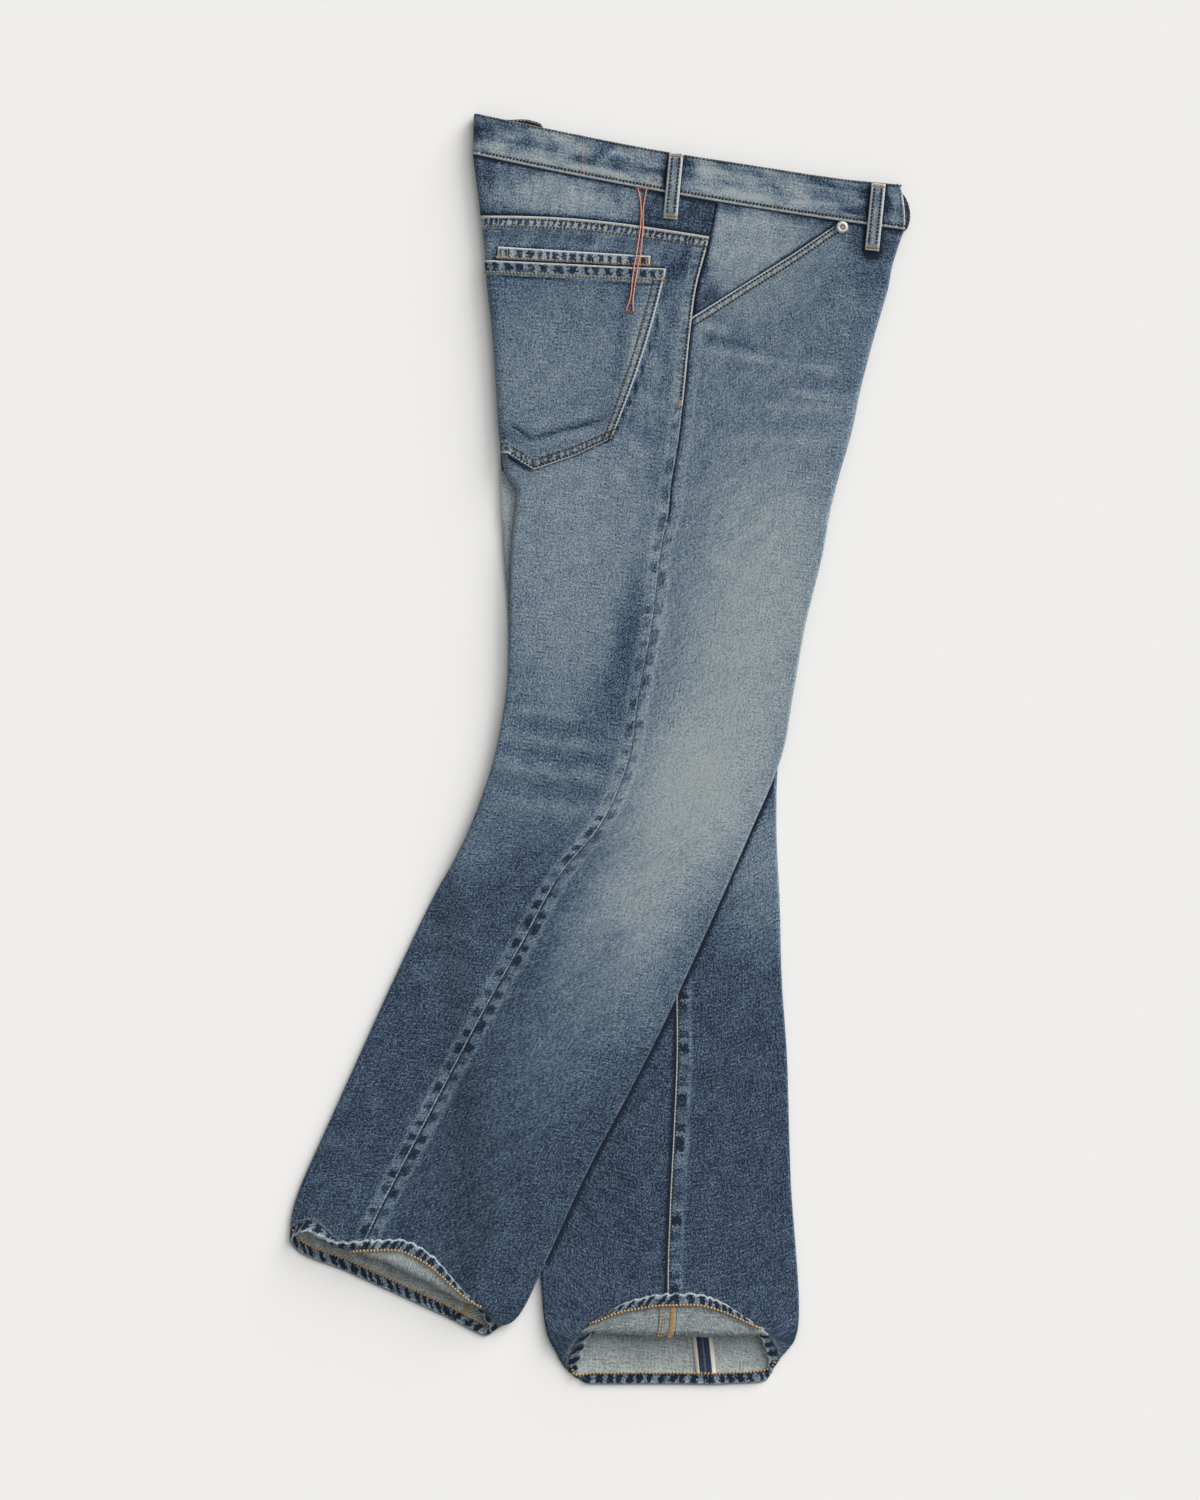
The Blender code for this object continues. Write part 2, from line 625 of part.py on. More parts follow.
def pocket_strip(surface):
    top, foot = between(*STRIP_TOP, STRIP_COLUMNS), between(*STRIP_FOOT, STRIP_COLUMNS)
    places = np.array([top, (top + foot) / 2, foot])
    return laid_on("right_pocket_strip", places, STRIP_WALL, surface)


def belt_loop(loop, surface):
    top, foot = np.array(loop.top, float), np.array(loop.foot, float)
    aside = unit(foot - top)[::-1] * np.array([-1, 1]) * loop.width / 2
    rows = []
    for part, lift in LOOP_PROFILE:
        middle = top + (foot - top) * part
        level = BAND_TOP + lift + LOOP_WALL
        rows.append([(*(middle - aside * s), level) for s in (-1, 0, 1)])
    return sheet(loop.name, np.array(rows), LOOP_WALL, surface, flip=True)


def rivet(surface):
    """A round cap with a raised rim and a dimple, turned about its axis."""
    profile = (
        (0.0, RIVET_HEIGHT * 0.7),
        (RIVET_RADIUS * 0.3, RIVET_HEIGHT * 0.75),
        (RIVET_RADIUS * 0.45, RIVET_HEIGHT),
        (RIVET_RADIUS * 0.75, RIVET_HEIGHT * 0.9),
        (RIVET_RADIUS, RIVET_HEIGHT * 0.35),
        (RIVET_RADIUS, 0.0),
        (0.0, 0.0),
    )
    mesh = bpy.data.meshes.new("pocket_rivet")
    points = [(x * MM, 0.0, z * MM) for x, z in profile]
    mesh.from_pydata(points, [(i, i + 1) for i in range(len(points) - 1)], [])
    made = placed("pocket_rivet", mesh, surface)
    made.location = (RIVET_PLACE[0] * MM, RIVET_PLACE[1] * MM, (TOP + SEAM_GAP) * MM)
    turned = made.modifiers.new("turned", "SCREW")
    turned.steps = turned.render_steps = 16
    turned.use_merge_vertices = True
    turned.merge_threshold = 0.00005
    return made


def loose_thread(name, route, surface):
    """A thread end that hangs from the waistband over the yoke and the pocket."""
    radius = THREAD_DIAMETER / 2
    route = np.array(route, float)
    climb_from, climb_length = THREAD_CLIMB
    climb = (CLOTH + SEAM_GAP) * smoothstep((climb_from - route[:, 1]) / climb_length)
    points = np.column_stack([route, TOP + SEAM_GAP + radius + climb])
    line = curve_through(distances(points), points)
    total = distances(points)[-1]
    smooth = line(np.linspace(0, total, int(total / THREAD_STEP)))
    curve = bpy.data.curves.new(name, "CURVE")
    curve.dimensions = "3D"
    curve.bevel_depth = radius * MM
    curve.bevel_resolution = 2
    curve.use_fill_caps = True
    spline = curve.splines.new("POLY")
    spline.points.add(len(smooth) - 1)
    for point, place in zip(spline.points, smooth * MM):
        point.co = (*place, 1.0)
    return placed(name, curve, surface)


clear_scene()
GARMENT = bpy.data.collections.new("jeans")
bpy.context.scene.collection.children.link(GARMENT)
RIGHT = Half(RIGHT_SECTIONS, RIGHT_INSEAM, RIGHT_RIM, upper=True)
LEFT = Half(LEFT_SECTIONS, LEFT_INSEAM, LEFT_RIM, upper=False)

denim = material("denim", (0.16, 0.23, 0.33), 0.9)
dark_denim = material("dark denim", (0.09, 0.13, 0.2), 0.9)
plated_metal = material("plated metal", (0.6, 0.58, 0.55), 0.35, 1.0)
coral_thread = material("coral thread", (0.75, 0.25, 0.2), 0.7)

panel("right_front_panel", RIGHT, 1, SEAM_GAP, FRONT_SHARES, front_start, SLANT_JOIN, denim)
panel("right_back_panel", RIGHT, -1, YOKE_DEPTH, BACK_SHARES, yoke_edge, YOKE_JOIN, denim)
panel("left_front_panel", LEFT, 1, SEAM_GAP, FRONT_SHARES, lambda share: 0.0, 1.0, denim)
panel("left_back_panel", LEFT, -1, YOKE_DEPTH, BACK_SHARES, yoke_edge, YOKE_JOIN, denim)
yoke("right_yoke", RIGHT, denim)
yoke("left_yoke", LEFT, denim)
waistband(denim)
pocket_facing(RIGHT, dark_denim)
back_pocket(denim)
pocket_strip(denim)
for belt in LOOPS:
    belt_loop(belt, dark_denim)
rivet(plated_metal)
for thread_name, thread_route in THREADS.items():
    loose_thread(thread_name, thread_route, coral_thread)
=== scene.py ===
# %% [markdown]
# # Regular-fit jeans, laid flat
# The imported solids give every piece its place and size. This lesson dresses them: each panel becomes a
# fine sheet of cloth on the solid's own form, with the fades, roping, sewing and trim of a washed pair.
# The frame is loaded first, because everything after it is placed by it. Lengths in the tables are
# millimetres, as a pattern cutter writes them, and are turned into metres when a mesh is made.

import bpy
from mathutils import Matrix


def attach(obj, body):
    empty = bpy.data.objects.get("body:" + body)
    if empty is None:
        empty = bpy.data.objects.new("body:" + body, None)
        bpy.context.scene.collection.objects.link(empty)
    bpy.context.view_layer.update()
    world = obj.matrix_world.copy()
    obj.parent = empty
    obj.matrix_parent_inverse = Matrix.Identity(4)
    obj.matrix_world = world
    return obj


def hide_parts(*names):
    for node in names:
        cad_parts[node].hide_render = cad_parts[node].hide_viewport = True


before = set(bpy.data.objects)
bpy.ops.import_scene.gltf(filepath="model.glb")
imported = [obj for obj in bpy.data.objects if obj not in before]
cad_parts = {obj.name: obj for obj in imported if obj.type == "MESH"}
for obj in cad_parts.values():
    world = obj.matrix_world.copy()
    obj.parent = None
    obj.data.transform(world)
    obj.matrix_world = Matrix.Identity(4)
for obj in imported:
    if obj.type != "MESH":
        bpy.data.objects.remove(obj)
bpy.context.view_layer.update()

from collections import namedtuple
from math import cos, pi, radians, sin

import bpy
import numpy as np
from mathutils import Vector

MM = 0.001


def rows_of(kind, rows):
    """Gives names to the numbers in the rows of a table."""
    return [kind(*row) for row in rows]


def add_object(name, data):
    made = bpy.data.objects.new(name, data)
    bpy.context.scene.collection.objects.link(made)
    return made


# %% [markdown]
# ## Camera
# The jeans are seen from straight above. A long lens keeps the view almost parallel, so the waist and
# the hems show the same scale. One pixel of the 1200 x 1500 photograph is 0.95 mm on the cloth, which
# gives the height of the view, and the lens then gives the distance.

# %% Camera
MM_PER_PIXEL = 0.95
PHOTO_HEIGHT = 1500
LENS = 120.0
SENSOR = 36.0
CLOTH_LEVEL = 0.010

camera_data = bpy.data.cameras.new("camera")
camera_data.lens = LENS
camera_data.sensor_width = SENSOR
camera = add_object("camera", camera_data)
view_height = PHOTO_HEIGHT * MM_PER_PIXEL * MM
camera.location = (0, 0, CLOTH_LEVEL + view_height * LENS / SENSOR)
bpy.context.scene.camera = camera
print("camera height:", round(camera.location.z, 3))

# %% [markdown]
# ## Floor and light
# The photograph has a pale warm-grey ground and a soft shadow to the lower left. A sun with a wide
# angle acts as a large softbox at the upper right, and the world fills in from all sides. Their shares
# are chosen so that a white card lying flat would be just white, so a colour set on a material is the
# colour that the camera sees.

# %% Floor and light
FLOOR_COLOUR = (0.871, 0.861, 0.845)
FLOOR_REACH = 20.0  # metres, far enough to fill the view from any side
FLOOR_LEVEL = -0.0003  # a little under the cloth, so the two don't share a plane
Lamp = namedtuple("Lamp", "name x y z angle share")
LAMPS = (
    Lamp("softbox", 1.0, 0.9, 1.05, 60, 0.34),
    Lamp("low_light", 0.9, 1.0, 0.38, 34, 0.28),
)
FILL_SHARE = 1 - sum(lamp.share for lamp in LAMPS)

floor_mesh = bpy.data.meshes.new("floor")
floor_corners = [(x * FLOOR_REACH, y * FLOOR_REACH, 0) for x, y in ((-1, -1), (1, -1), (1, 1), (-1, 1))]
floor_mesh.from_pydata(floor_corners, [], [(0, 1, 2, 3)])
floor = add_object("floor", floor_mesh)
floor.location.z = FLOOR_LEVEL
paper = bpy.data.materials.new("paper")
paper.use_nodes = True
paper_inputs = paper.node_tree.nodes["Principled BSDF"].inputs
paper_inputs["Base Color"].default_value = (*FLOOR_COLOUR, 1)
paper_inputs["Roughness"].default_value = 0.9
paper_inputs["Specular IOR Level"].default_value = 0.0
floor_mesh.materials.append(paper)

for lamp in LAMPS:
    towards = Vector((lamp.x, lamp.y, lamp.z)).normalized()
    sun_data = bpy.data.lights.new(lamp.name, "SUN")
    sun_data.energy = lamp.share * pi / towards.z
    sun_data.angle = radians(lamp.angle)
    sun = add_object(lamp.name, sun_data)
    sun.rotation_euler = (-towards).to_track_quat("-Z", "Y").to_euler()

world = bpy.data.worlds.new("studio")
world.use_nodes = True
background = world.node_tree.nodes["Background"].inputs
background["Color"].default_value = (1, 1, 1, 1)
background["Strength"].default_value = FILL_SHARE
bpy.context.scene.world = world
bpy.context.scene.view_settings.view_transform = "Standard"
print("lamps:", len(LAMPS), "fill:", round(FILL_SHARE, 2))

# %% [markdown]
# ## The jeans' own sizes
# A leg is a flat tube. Each section of it is written down once, by where the back edge, the side seam
# and the front edge lie, seen from above. Smooth curves through the sections give the outline. The
# open hems have a table of their own, which goes once round each mouth.

# %% Sizes
SEAM_GAP = 0.3
CLOTH = 1.2
HEM_WALL = 2.4
HEM_HEIGHT = 12.0
BAND_WALL = 3.0
STRIP_WALL = 1.0
LOOP_WALL = 1.8
LEG_HEIGHT = 5.8
LEG_GAP = 0.4
TOP = 2 * LEG_HEIGHT + LEG_GAP
BAND_TOP = TOP + 0.9
RISE_END = 305.0
CROTCH_DIP = 46.0
CROTCH_JOIN = 150.0
EDGE_BLEND = 26.0
EDGE_SPLIT = 0.8
RIM_GAP = 0.3
RAMP = 42.0
RAMP_CLEAR = 42.0
SLANT_DROP = 112.0
SLANT_END = 0.69
SLANT_BOW = 10.0
SLANT_JOIN = 150.0
FACING_UNDERLAP = 12.0
FACING_SINK = 30.0
FACING_PAST_END = 0.06
YOKE_DEPTH = 34.0
YOKE_BOW = 3.5
YOKE_JOIN = 60.0

Section = namedtuple("Section", "name back seam front")
Rim = namedtuple("Rim", "turn x y z lift ax ay az start finish")

HIP_SECTIONS = rows_of(Section, (
    ("waist", (-121, 566), (110, 521), (289, 494)),
    ("yoke", (-113, 502), (103, 484), (279, 464)),
    ("pocket top", (-106, 437), (91, 437), (273, 435)),
    ("hip", (-102, 399), (86, 399), (263, 401)),
    ("seat", (-98, 342), (80, 340), (248, 344)),
))
RIGHT_SECTIONS = HIP_SECTIONS + rows_of(Section, (
    ("seat low", (-94, 290), (73, 283), (236, 290)),
    ("rise end", (-90, 263), (69, 260), (228, 263)),
    ("crotch", (-80, 247), (67, 247), (224, 248)),
    ("under crotch", (-81, 233), (66, 232), (220, 232)),
    ("thigh", (-84, 190), (58, 190), (212, 188)),
    ("mid thigh", (-86, 124), (50, 124), (196, 122)),
    ("low thigh", (-89, 57), (37, 53), (184, 55)),
    ("knee", (-101, -8), (27, -10), (172, -8)),
    ("under knee", (-118, -59), (3, -67), (142, -80)),
    ("calf top", (-138, -103), (-41, -123), (110, -153)),
    ("calf", (-155, -133), (-67, -171), (74, -232)),
    ("mid shin", (-196, -218), (-114, -255), (32, -317)),
    ("low shin", (-235, -304), (-158, -339), (-12, -400)),
    ("mouth", (-274, -390), (-201, -421), (-51, -485)),
))
LEFT_SECTIONS = HIP_SECTIONS + rows_of(Section, (
    ("seat low", (-95, 290), (73, 283), (236, 290)),
    ("rise end", (-95, 263), (69, 260), (227, 263)),
    ("crotch", (-94, 247), (67, 247), (223, 248)),
    ("thigh", (-92, 190), (62, 190), (210, 188)),
    ("mid thigh", (-88, 124), (57, 124), (194, 122)),
    ("low thigh", (-89, 57), (52, 53), (182, 55)),
    ("knee", (-96, -8), (52, -10), (170, -8)),
    ("calf top", (-88, -76), (62, -76), (168, -76)),
    ("calf", (-83, -142), (69, -142), (171, -142)),
    ("mid shin", (-75, -218), (78, -218), (173, -218)),
    ("low shin", (-69, -293), (86, -293), (178, -293)),
    ("ankle", (-65, -361), (91, -361), (180, -361)),
    ("low ankle", (-61, -418), (95, -418), (182, -418)),
    ("mouth", (-58, -470), (97, -470), (186, -470)),
))
LEFT_LEG_EDGE = np.array([s.back for s in LEFT_SECTIONS if s.back[1] < 100], float)

# Where each inseam runs, from -1 at the back edge to 1 at the front edge, by how far down.
RIGHT_INSEAM = ((0, 0.2), (305, 0.22), (560, 0.3), (1010, 0.42))
LEFT_INSEAM = ((0, 0.3), (305, 0.3), (560, 0.25), (750, 0.186), (890, 0.1), (1000, 0.005))

LEFT_RIM = rows_of(Rim, (
    (0, 72, -604, 0, 0, 0, -1, 0, 45, 45),
    (0.1, 24, -604, 0, 0, 0, -1, 0, 45, 45),
    (0.15, 1, -604, 0, 0, 0.05, -1, 0, 50, 38),
    (0.192, -16, -602, 0.8, 0, 0.84, -0.54, 0.02, 88, 38),
    (0.235, -20, -587, 4.5, 0, 0.95, -0.3, 0.02, 94, 36),
    (0.256, -16, -572, 7.2, 0, 1, 0, 0.05, 94, 40),
    (0.31, -6, -551, 10.5, 2, 0.95, 0.3, 0, 95, 40),
    (0.38, 19, -527, 12, 3, 0.6, 0.8, -0.05, 100, 55),
    (0.44, 48, -518, 12.5, 3, 0.2, 0.98, -0.1, 100, 62),
    (0.5, 72, -516, 12.5, 3, 0, 1, -0.12, 100, 65),
    (0.56, 97, -517, 12.5, 3, -0.15, 0.98, -0.1, 100, 64),
    (0.62, 124, -529, 12, 3, -0.5, 0.87, -0.05, 98, 55),
    (0.69, 149, -553, 10.5, 2, -0.95, 0.3, 0, 92, 40),
    (0.75, 158, -574, 7.5, 0, -1, 0, 0.05, 88, 34),
    (0.79, 161, -590, 3.5, 0, -0.9, -0.2, 0.1, 82, 16),
    (0.824, 160, -599, 0.3, 0, -0.25, -0.97, 0.02, 60, 25),
    (0.9, 120, -604, 0, 0, 0, -1, 0, 45, 45),
))
RIGHT_RIM = rows_of(Rim, (
    (0, -186, -522, 0, 0, -0.4, -0.92, 0, 30, 25),
    (0.125, -241, -497, 0, 0, -0.4, -0.92, 0, 30, 25),
    (0.235, -292, -473, 0, 0, -0.1, -1, 0, 34, 25),
    (0.25, -295, -468, 3.4, 0, 0.02, -1, 0, 36, 28),
    (0.273, -288, -459, 9, 0, -0.1, 0.1, 0.5, 38, 9),
    (0.357, -247, -466, 13, 2, 0.35, 0.75, 0.4, 50, 20),
    (0.423, -215, -465, 13.5, 3, 0.4, 0.9, 0, 62, 34),
    (0.497, -180, -467, 12.5, 3, 0.4, 0.92, -0.1, 70, 43),
    (0.534, -164, -476, 12, 3, 0.2, 0.97, -0.1, 72, 43),
    (0.613, -138, -504, 11.5, 2, -0.35, 0.93, 0, 72, 38),
    (0.685, -117, -531, 9.5, 1, -0.85, 0.52, 0, 68, 34),
    (0.75, -107, -546, 6, 0, -0.95, 0.25, 0.05, 55, 30),
    (0.79, -104, -555, 2.8, 0, -0.8, -0.3, 0.1, 52, 16),
    (0.82, -108, -558, 0.3, 0, -0.5, -0.85, 0.02, 45, 25),
    (0.91, -147, -540, 0, 0, -0.4, -0.92, 0, 30, 25),
))
print("sections:", len(RIGHT_SECTIONS), "and", len(LEFT_SECTIONS))

# %% [markdown]
# ## Curves through a few values
# The tables hold few rows, so the numbers between them come from smooth curves. These small helpers
# do that for the outline, the seams and the sewing alike.

# %% Curve helpers


def curve_through(knots, values):
    """A smooth curve that passes through the values at the knots."""
    knots = np.asarray(knots, float)
    values = np.asarray(values, float)
    slopes = np.gradient(values, knots, axis=0)

    def at(where):
        where = np.clip(np.asarray(where, float), knots[0], knots[-1])
        i = np.clip(np.searchsorted(knots, where, side="right") - 1, 0, len(knots) - 2)
        width = knots[i + 1] - knots[i]
        t = (where - knots[i]) / width
        if values.ndim > 1:
            t, width = t[..., None], width[..., None]
        rise = 3 * t**2 - 2 * t**3
        leave = (t**3 - 2 * t**2 + t) * width
        reach = (t**3 - t**2) * width
        ends = values[i] * (1 - rise) + values[i + 1] * rise
        return ends + slopes[i] * leave + slopes[i + 1] * reach

    return at


def distances(points):
    """How far along a polyline each of its points lies."""
    steps = length_of(np.diff(np.asarray(points, float), axis=0))
    return np.concatenate([[0.0], np.cumsum(steps)])


def resampled(points, where):
    """Points of a polyline at given distances along it."""
    points = np.asarray(points, float)
    along = distances(points)
    return np.stack([np.interp(where, along, axis) for axis in points.T], axis=1)


def on_line(shares, places, corners=(0, 1)):
    """Places at shares of the way along a line whose own places lie at the shares in corners."""
    return np.stack([np.interp(shares, corners, axis) for axis in np.array(places, float).T], axis=-1)


def at_distance(distance, far, values):
    """The value at a distance along one row of a grid, where far holds the row's own distances."""
    order = np.argsort(far)
    values = values[order]
    if values.ndim == 1:
        return np.interp(distance, far[order], values)
    return np.array([np.interp(distance, far[order], axis) for axis in values.T])


def smoothstep(x):
    x = np.clip(x, 0.0, 1.0)
    return x * x * (3 - 2 * x)


def unit(vectors):
    return vectors / np.linalg.norm(vectors, axis=-1, keepdims=True)


def length_of(vectors):
    return np.linalg.norm(vectors, axis=-1)


print("half way up a smooth step:", smoothstep(0.5))

# %% [markdown]
# ## One half of the jeans
# A point of the cloth is named by how far it lies down the side seam and how far across, from the back
# edge at -1 to the front edge at 1. The class turns those two numbers into a place on the outer layer,
# round the folded edge, or on the inner layer. The upper leg sinks to the table where the lower leg
# isn't under it.

# %% The two halves
SMALL_DOWN, SMALL_ACROSS = 0.5, 0.0005
SEARCH_ROWS, SEARCH_COLUMNS, NEWTON_STEPS = 90, 33, 6


class Half:
    def __init__(self, sections, inseam, rim, upper):
        self.upper = upper
        self.stations = distances([s.seam for s in sections])
        self.length = self.stations[-1]
        self.back = curve_through(self.stations, [s.back for s in sections])
        self.seam = curve_through(self.stations, [s.seam for s in sections])
        self.front = curve_through(self.stations, [s.front for s in sections])
        self.inseam = curve_through(*zip(*inseam))
        around = [rim[-1]._replace(turn=rim[-1].turn - 1), *rim, rim[0]._replace(turn=1.0)]
        self.rim = curve_through([r.turn for r in around], [r[1:] for r in around])
        self.outer_level = TOP if upper else 0.0
        self.inner_level = LEG_HEIGHT + LEG_GAP if upper else LEG_HEIGHT

    def frame(self, down):
        """The section's middle, half-width vector and bow, and where across its side seam lies."""
        back, seam, front = self.back(down), self.seam(down), self.front(down)
        middle, half = (back + front) / 2, (front - back) / 2
        at_seam = ((seam - middle) * half).sum(-1) / (half * half).sum(-1)
        bow = (seam - middle - at_seam[..., None] * half) / (1 - at_seam**2)[..., None]
        return middle, half, bow, at_seam

    def flat(self, down, across):
        """The place of a point of the section, seen from above."""
        middle, half, bow, _ = self.frame(down)
        across = np.asarray(across, float)[..., None]
        return middle + across * half + (1 - across**2) * bow

    def edge_level(self, down):
        hips = (TOP + (EDGE_SPLIT if self.upper else -EDGE_SPLIT)) / 2
        leg = (self.outer_level + self.inner_level) / 2
        return hips + (leg - hips) * smoothstep((down - RISE_END + EDGE_BLEND / 3) / EDGE_BLEND)

    def radius(self, down):
        hips, leg = TOP / 2, LEG_HEIGHT / 2
        return hips + (leg - hips) * smoothstep((down - RISE_END + EDGE_BLEND) / (2 * EDGE_BLEND))

    def tangent(self, down):
        """Where across the flat layers end and the folded edge begins."""
        return 1 - self.radius(down) / length_of(self.frame(down)[1])

    def rest_drop(self, place):
        """How far the upper leg sinks where the lower leg isn't under it."""
        if not self.upper:
            return np.zeros(place.shape[:-1])
        edge = np.interp(-place[..., 1], -LEFT_LEG_EDGE[:, 1], LEFT_LEG_EDGE[:, 0])
        off = 1 - smoothstep((place[..., 0] - edge + RAMP_CLEAR + RAMP) / RAMP)
        parted = smoothstep((LEFT_LEG_EDGE[0, 1] - place[..., 1]) / RAMP)
        return (LEG_HEIGHT + LEG_GAP) * off * parted

    def point(self, down, across, level):
        place = self.flat(down, across)
        return np.concatenate([place, (level - self.rest_drop(place))[..., None]], axis=-1)

    def outer(self, down, across):
        """A point of the outer layer, round to the tip of its folded edge."""
        tangent = self.tangent(down)
        beyond = np.clip((np.abs(across) - tangent) / (1 - tangent), 0, 1)
        edge = self.edge_level(down)
        return self.point(down, across, edge + (self.outer_level - edge) * np.sqrt(1 - beyond**2))

    def folded(self, down, side, angle):
        """A point of the folded edge: angle pi/2 at the outer layer, 0 at the tip, -pi/2 inside."""
        tangent = self.tangent(down)
        edge = self.edge_level(down)
        target = self.outer_level if angle >= 0 else self.inner_level
        level = edge + (target - edge) * abs(sin(angle))
        return self.point(down, side * (tangent + (1 - tangent) * cos(angle)), level)

    def inner(self, down, across):
        return self.point(down, across, np.full(np.shape(across), float(self.inner_level)))

    def locate(self, places):
        """down and across of places on the outer layer, by Newton's method from a coarse search."""
        downs, crosses = np.meshgrid(
            np.linspace(0, self.length, SEARCH_ROWS), np.linspace(-1, 1, SEARCH_COLUMNS), indexing="ij"
        )
        known = self.flat(downs, crosses).reshape(-1, 2)
        flat_places = places.reshape(-1, 2)
        nearest = np.array([((known - place) ** 2).sum(-1).argmin() for place in flat_places])
        down = downs.reshape(-1)[nearest].reshape(places.shape[:-1])
        across = crosses.reshape(-1)[nearest].reshape(places.shape[:-1])
        for _ in range(NEWTON_STEPS):
            here = self.flat(down, across)
            miss = places - here
            by_down = (self.flat(down + SMALL_DOWN, across) - here) / SMALL_DOWN
            by_across = (self.flat(down, across + SMALL_ACROSS) - here) / SMALL_ACROSS
            area = by_down[..., 0] * by_across[..., 1] - by_down[..., 1] * by_across[..., 0]
            step = miss[..., 0] * by_across[..., 1] - miss[..., 1] * by_across[..., 0]
            aside = by_down[..., 0] * miss[..., 1] - by_down[..., 1] * miss[..., 0]
            down = np.clip(down + step / area, 0, self.length)
            across = np.clip(across + aside / area, -1, 1)
        return down, across

    def above(self, down, across, lift):
        """Points of the outer layer moved out from the cloth by lift."""
        here = self.outer(down, across)
        aside = SMALL_ACROSS * np.where(across > 0, -1, 1)
        by_across = (self.outer(down, across + aside) - here) * np.sign(aside)[..., None]
        by_down = self.outer(down + SMALL_DOWN, across) - here
        return here + unit(np.cross(by_across, -by_down)) * lift

    def turn(self, kind, share, side):
        """How far round the leg a point lies, from the middle of the lower layer by the back edge."""
        down = np.array(self.length)
        half, radius = length_of(self.frame(down)[1]), self.radius(down)
        quarter = half - radius + pi / 2 * radius
        if kind == "fold":
            arc = quarter + radius * (share if self.upper else -share)
        elif (kind == "outer") == self.upper:
            arc = 2 * quarter - abs(share) * half
        else:
            arc = abs(share) * half
        return (4 * quarter - arc if side > 0 else arc) / (4 * quarter)


RIGHT = Half(RIGHT_SECTIONS, RIGHT_INSEAM, RIGHT_RIM, upper=True)
LEFT = Half(LEFT_SECTIONS, LEFT_INSEAM, LEFT_RIM, upper=False)
print("side seams:", round(RIGHT.length), round(LEFT.length), "mm to where the mouths begin")

# %% [markdown]
# ## A fine grid for a panel
# The solid needed some thirty rows. The cloth that shows gets a row every three millimetres, and its
# columns stand close together beside the seams, where the roping and the ridges are, and further
# apart in the middle, where the cloth is flat.

# %% Panel grids
ROW_STEP = 3.0
EDGE_STEPS = (0.0, 0.5, 1.1, 1.9, 3.0)  # rows next to a finished edge
SEAM_STEPS = (0.0, 0.5, 1.1, 1.9, 3.0, 4.5, 6.2, 8.0, 10.0, 12.0, 14.5, 18.0, 22.0)
FIELD_STEP = 4.5
FLAP_SHARE = 0.12
FOLD_ANGLES = tuple(radians(angle) for angle in (75, 60, 45, 30, 15, 0, -15, -30, -45, -60, -75))
MOUTH_ROWS = 22
BEZIER_STEPS = 97
INNER_WIDTH = 140.0  # about how far the inner layer reaches from the folded edge to the inseam
HEM_STEPS = (12.4, 11.2, 9.6, 8.0, 6.4, 4.8, 3.4, 2.2, 1.3, 0.6, 0.2, 0.0)


def spread(width, dense_first=True, dense_last=False, step=FIELD_STEP):
    """Shares from 0 to 1 over a width, dense at the asked ends and even between."""
    reach = width * (0.4 if dense_first and dense_last else 0.9)
    steps = np.array([s for s in SEAM_STEPS if s < reach])
    first = steps if dense_first else np.zeros(1)
    last = width - steps[::-1] if dense_last else np.array([width])
    count = max(2, int((last[0] - first[-1]) / step))
    middle = np.linspace(first[-1], last[0], count + 1)[1:-1]
    return np.concatenate([first, middle, last]) / width


class Column:
    """One line of points down a panel, from its upper edge to the hem."""

    def __init__(self, kind, share, start=0.0, join=1.0):
        self.kind = kind
        self.share = share
        self.start = start
        self.join = join

    @property
    def inside(self):
        return self.kind == "inner" or (self.kind == "fold" and self.share < 0)

    def across(self, half, side, down, gap):
        _, width, _, at_seam = half.frame(down)
        tangent = side * half.tangent(down)
        aside = side * gap / 2 / length_of(width)
        if self.kind == "outer":
            return at_seam + aside + (tangent - at_seam - aside) * self.share
        return tangent + (half.inseam(down) + aside - tangent) * self.share

    def points(self, half, side, rows, top):
        down = rows + self.start * np.clip(1 - (rows - top) / self.join, 0, 1)
        if self.kind == "fold":
            return half.folded(down, side, self.share)
        layer = half.outer if self.kind == "outer" else half.inner
        return layer(down, self.across(half, side, down, SEAM_GAP))

    def mouth(self, half, side, body):
        """The last stretch, on a Bezier curve from the leg to the edge of the open hem."""
        if self.kind == "fold":
            turn = half.turn("fold", self.share, side)
        else:
            across = float(self.across(half, side, np.array(half.length), RIM_GAP))
            turn = half.turn(self.kind, across, across)
        rim = half.rim(np.array(turn % 1.0))
        edge, lift, arrive, start, finish = rim[:3], rim[3], rim[4:7], rim[7], rim[8]
        first = body[-1]
        second = first + unit(body[-1] - body[-2]) * start + np.array([0, 0, lift])
        third = edge - arrive * finish
        t = np.linspace(0, 1, BEZIER_STEPS)[:, None]
        path = (1 - t) ** 3 * first + 3 * (1 - t) ** 2 * t * second
        path = path + 3 * (1 - t) * t**2 * third + t**3 * edge
        path[:, 2] = np.maximum(path[:, 2], 0.0)
        total = distances(path)[-1]
        along = np.linspace(0, total - HEM_STEPS[0], MOUTH_ROWS)[1:-1]
        return resampled(path, np.append(along, total - np.array(HEM_STEPS)))


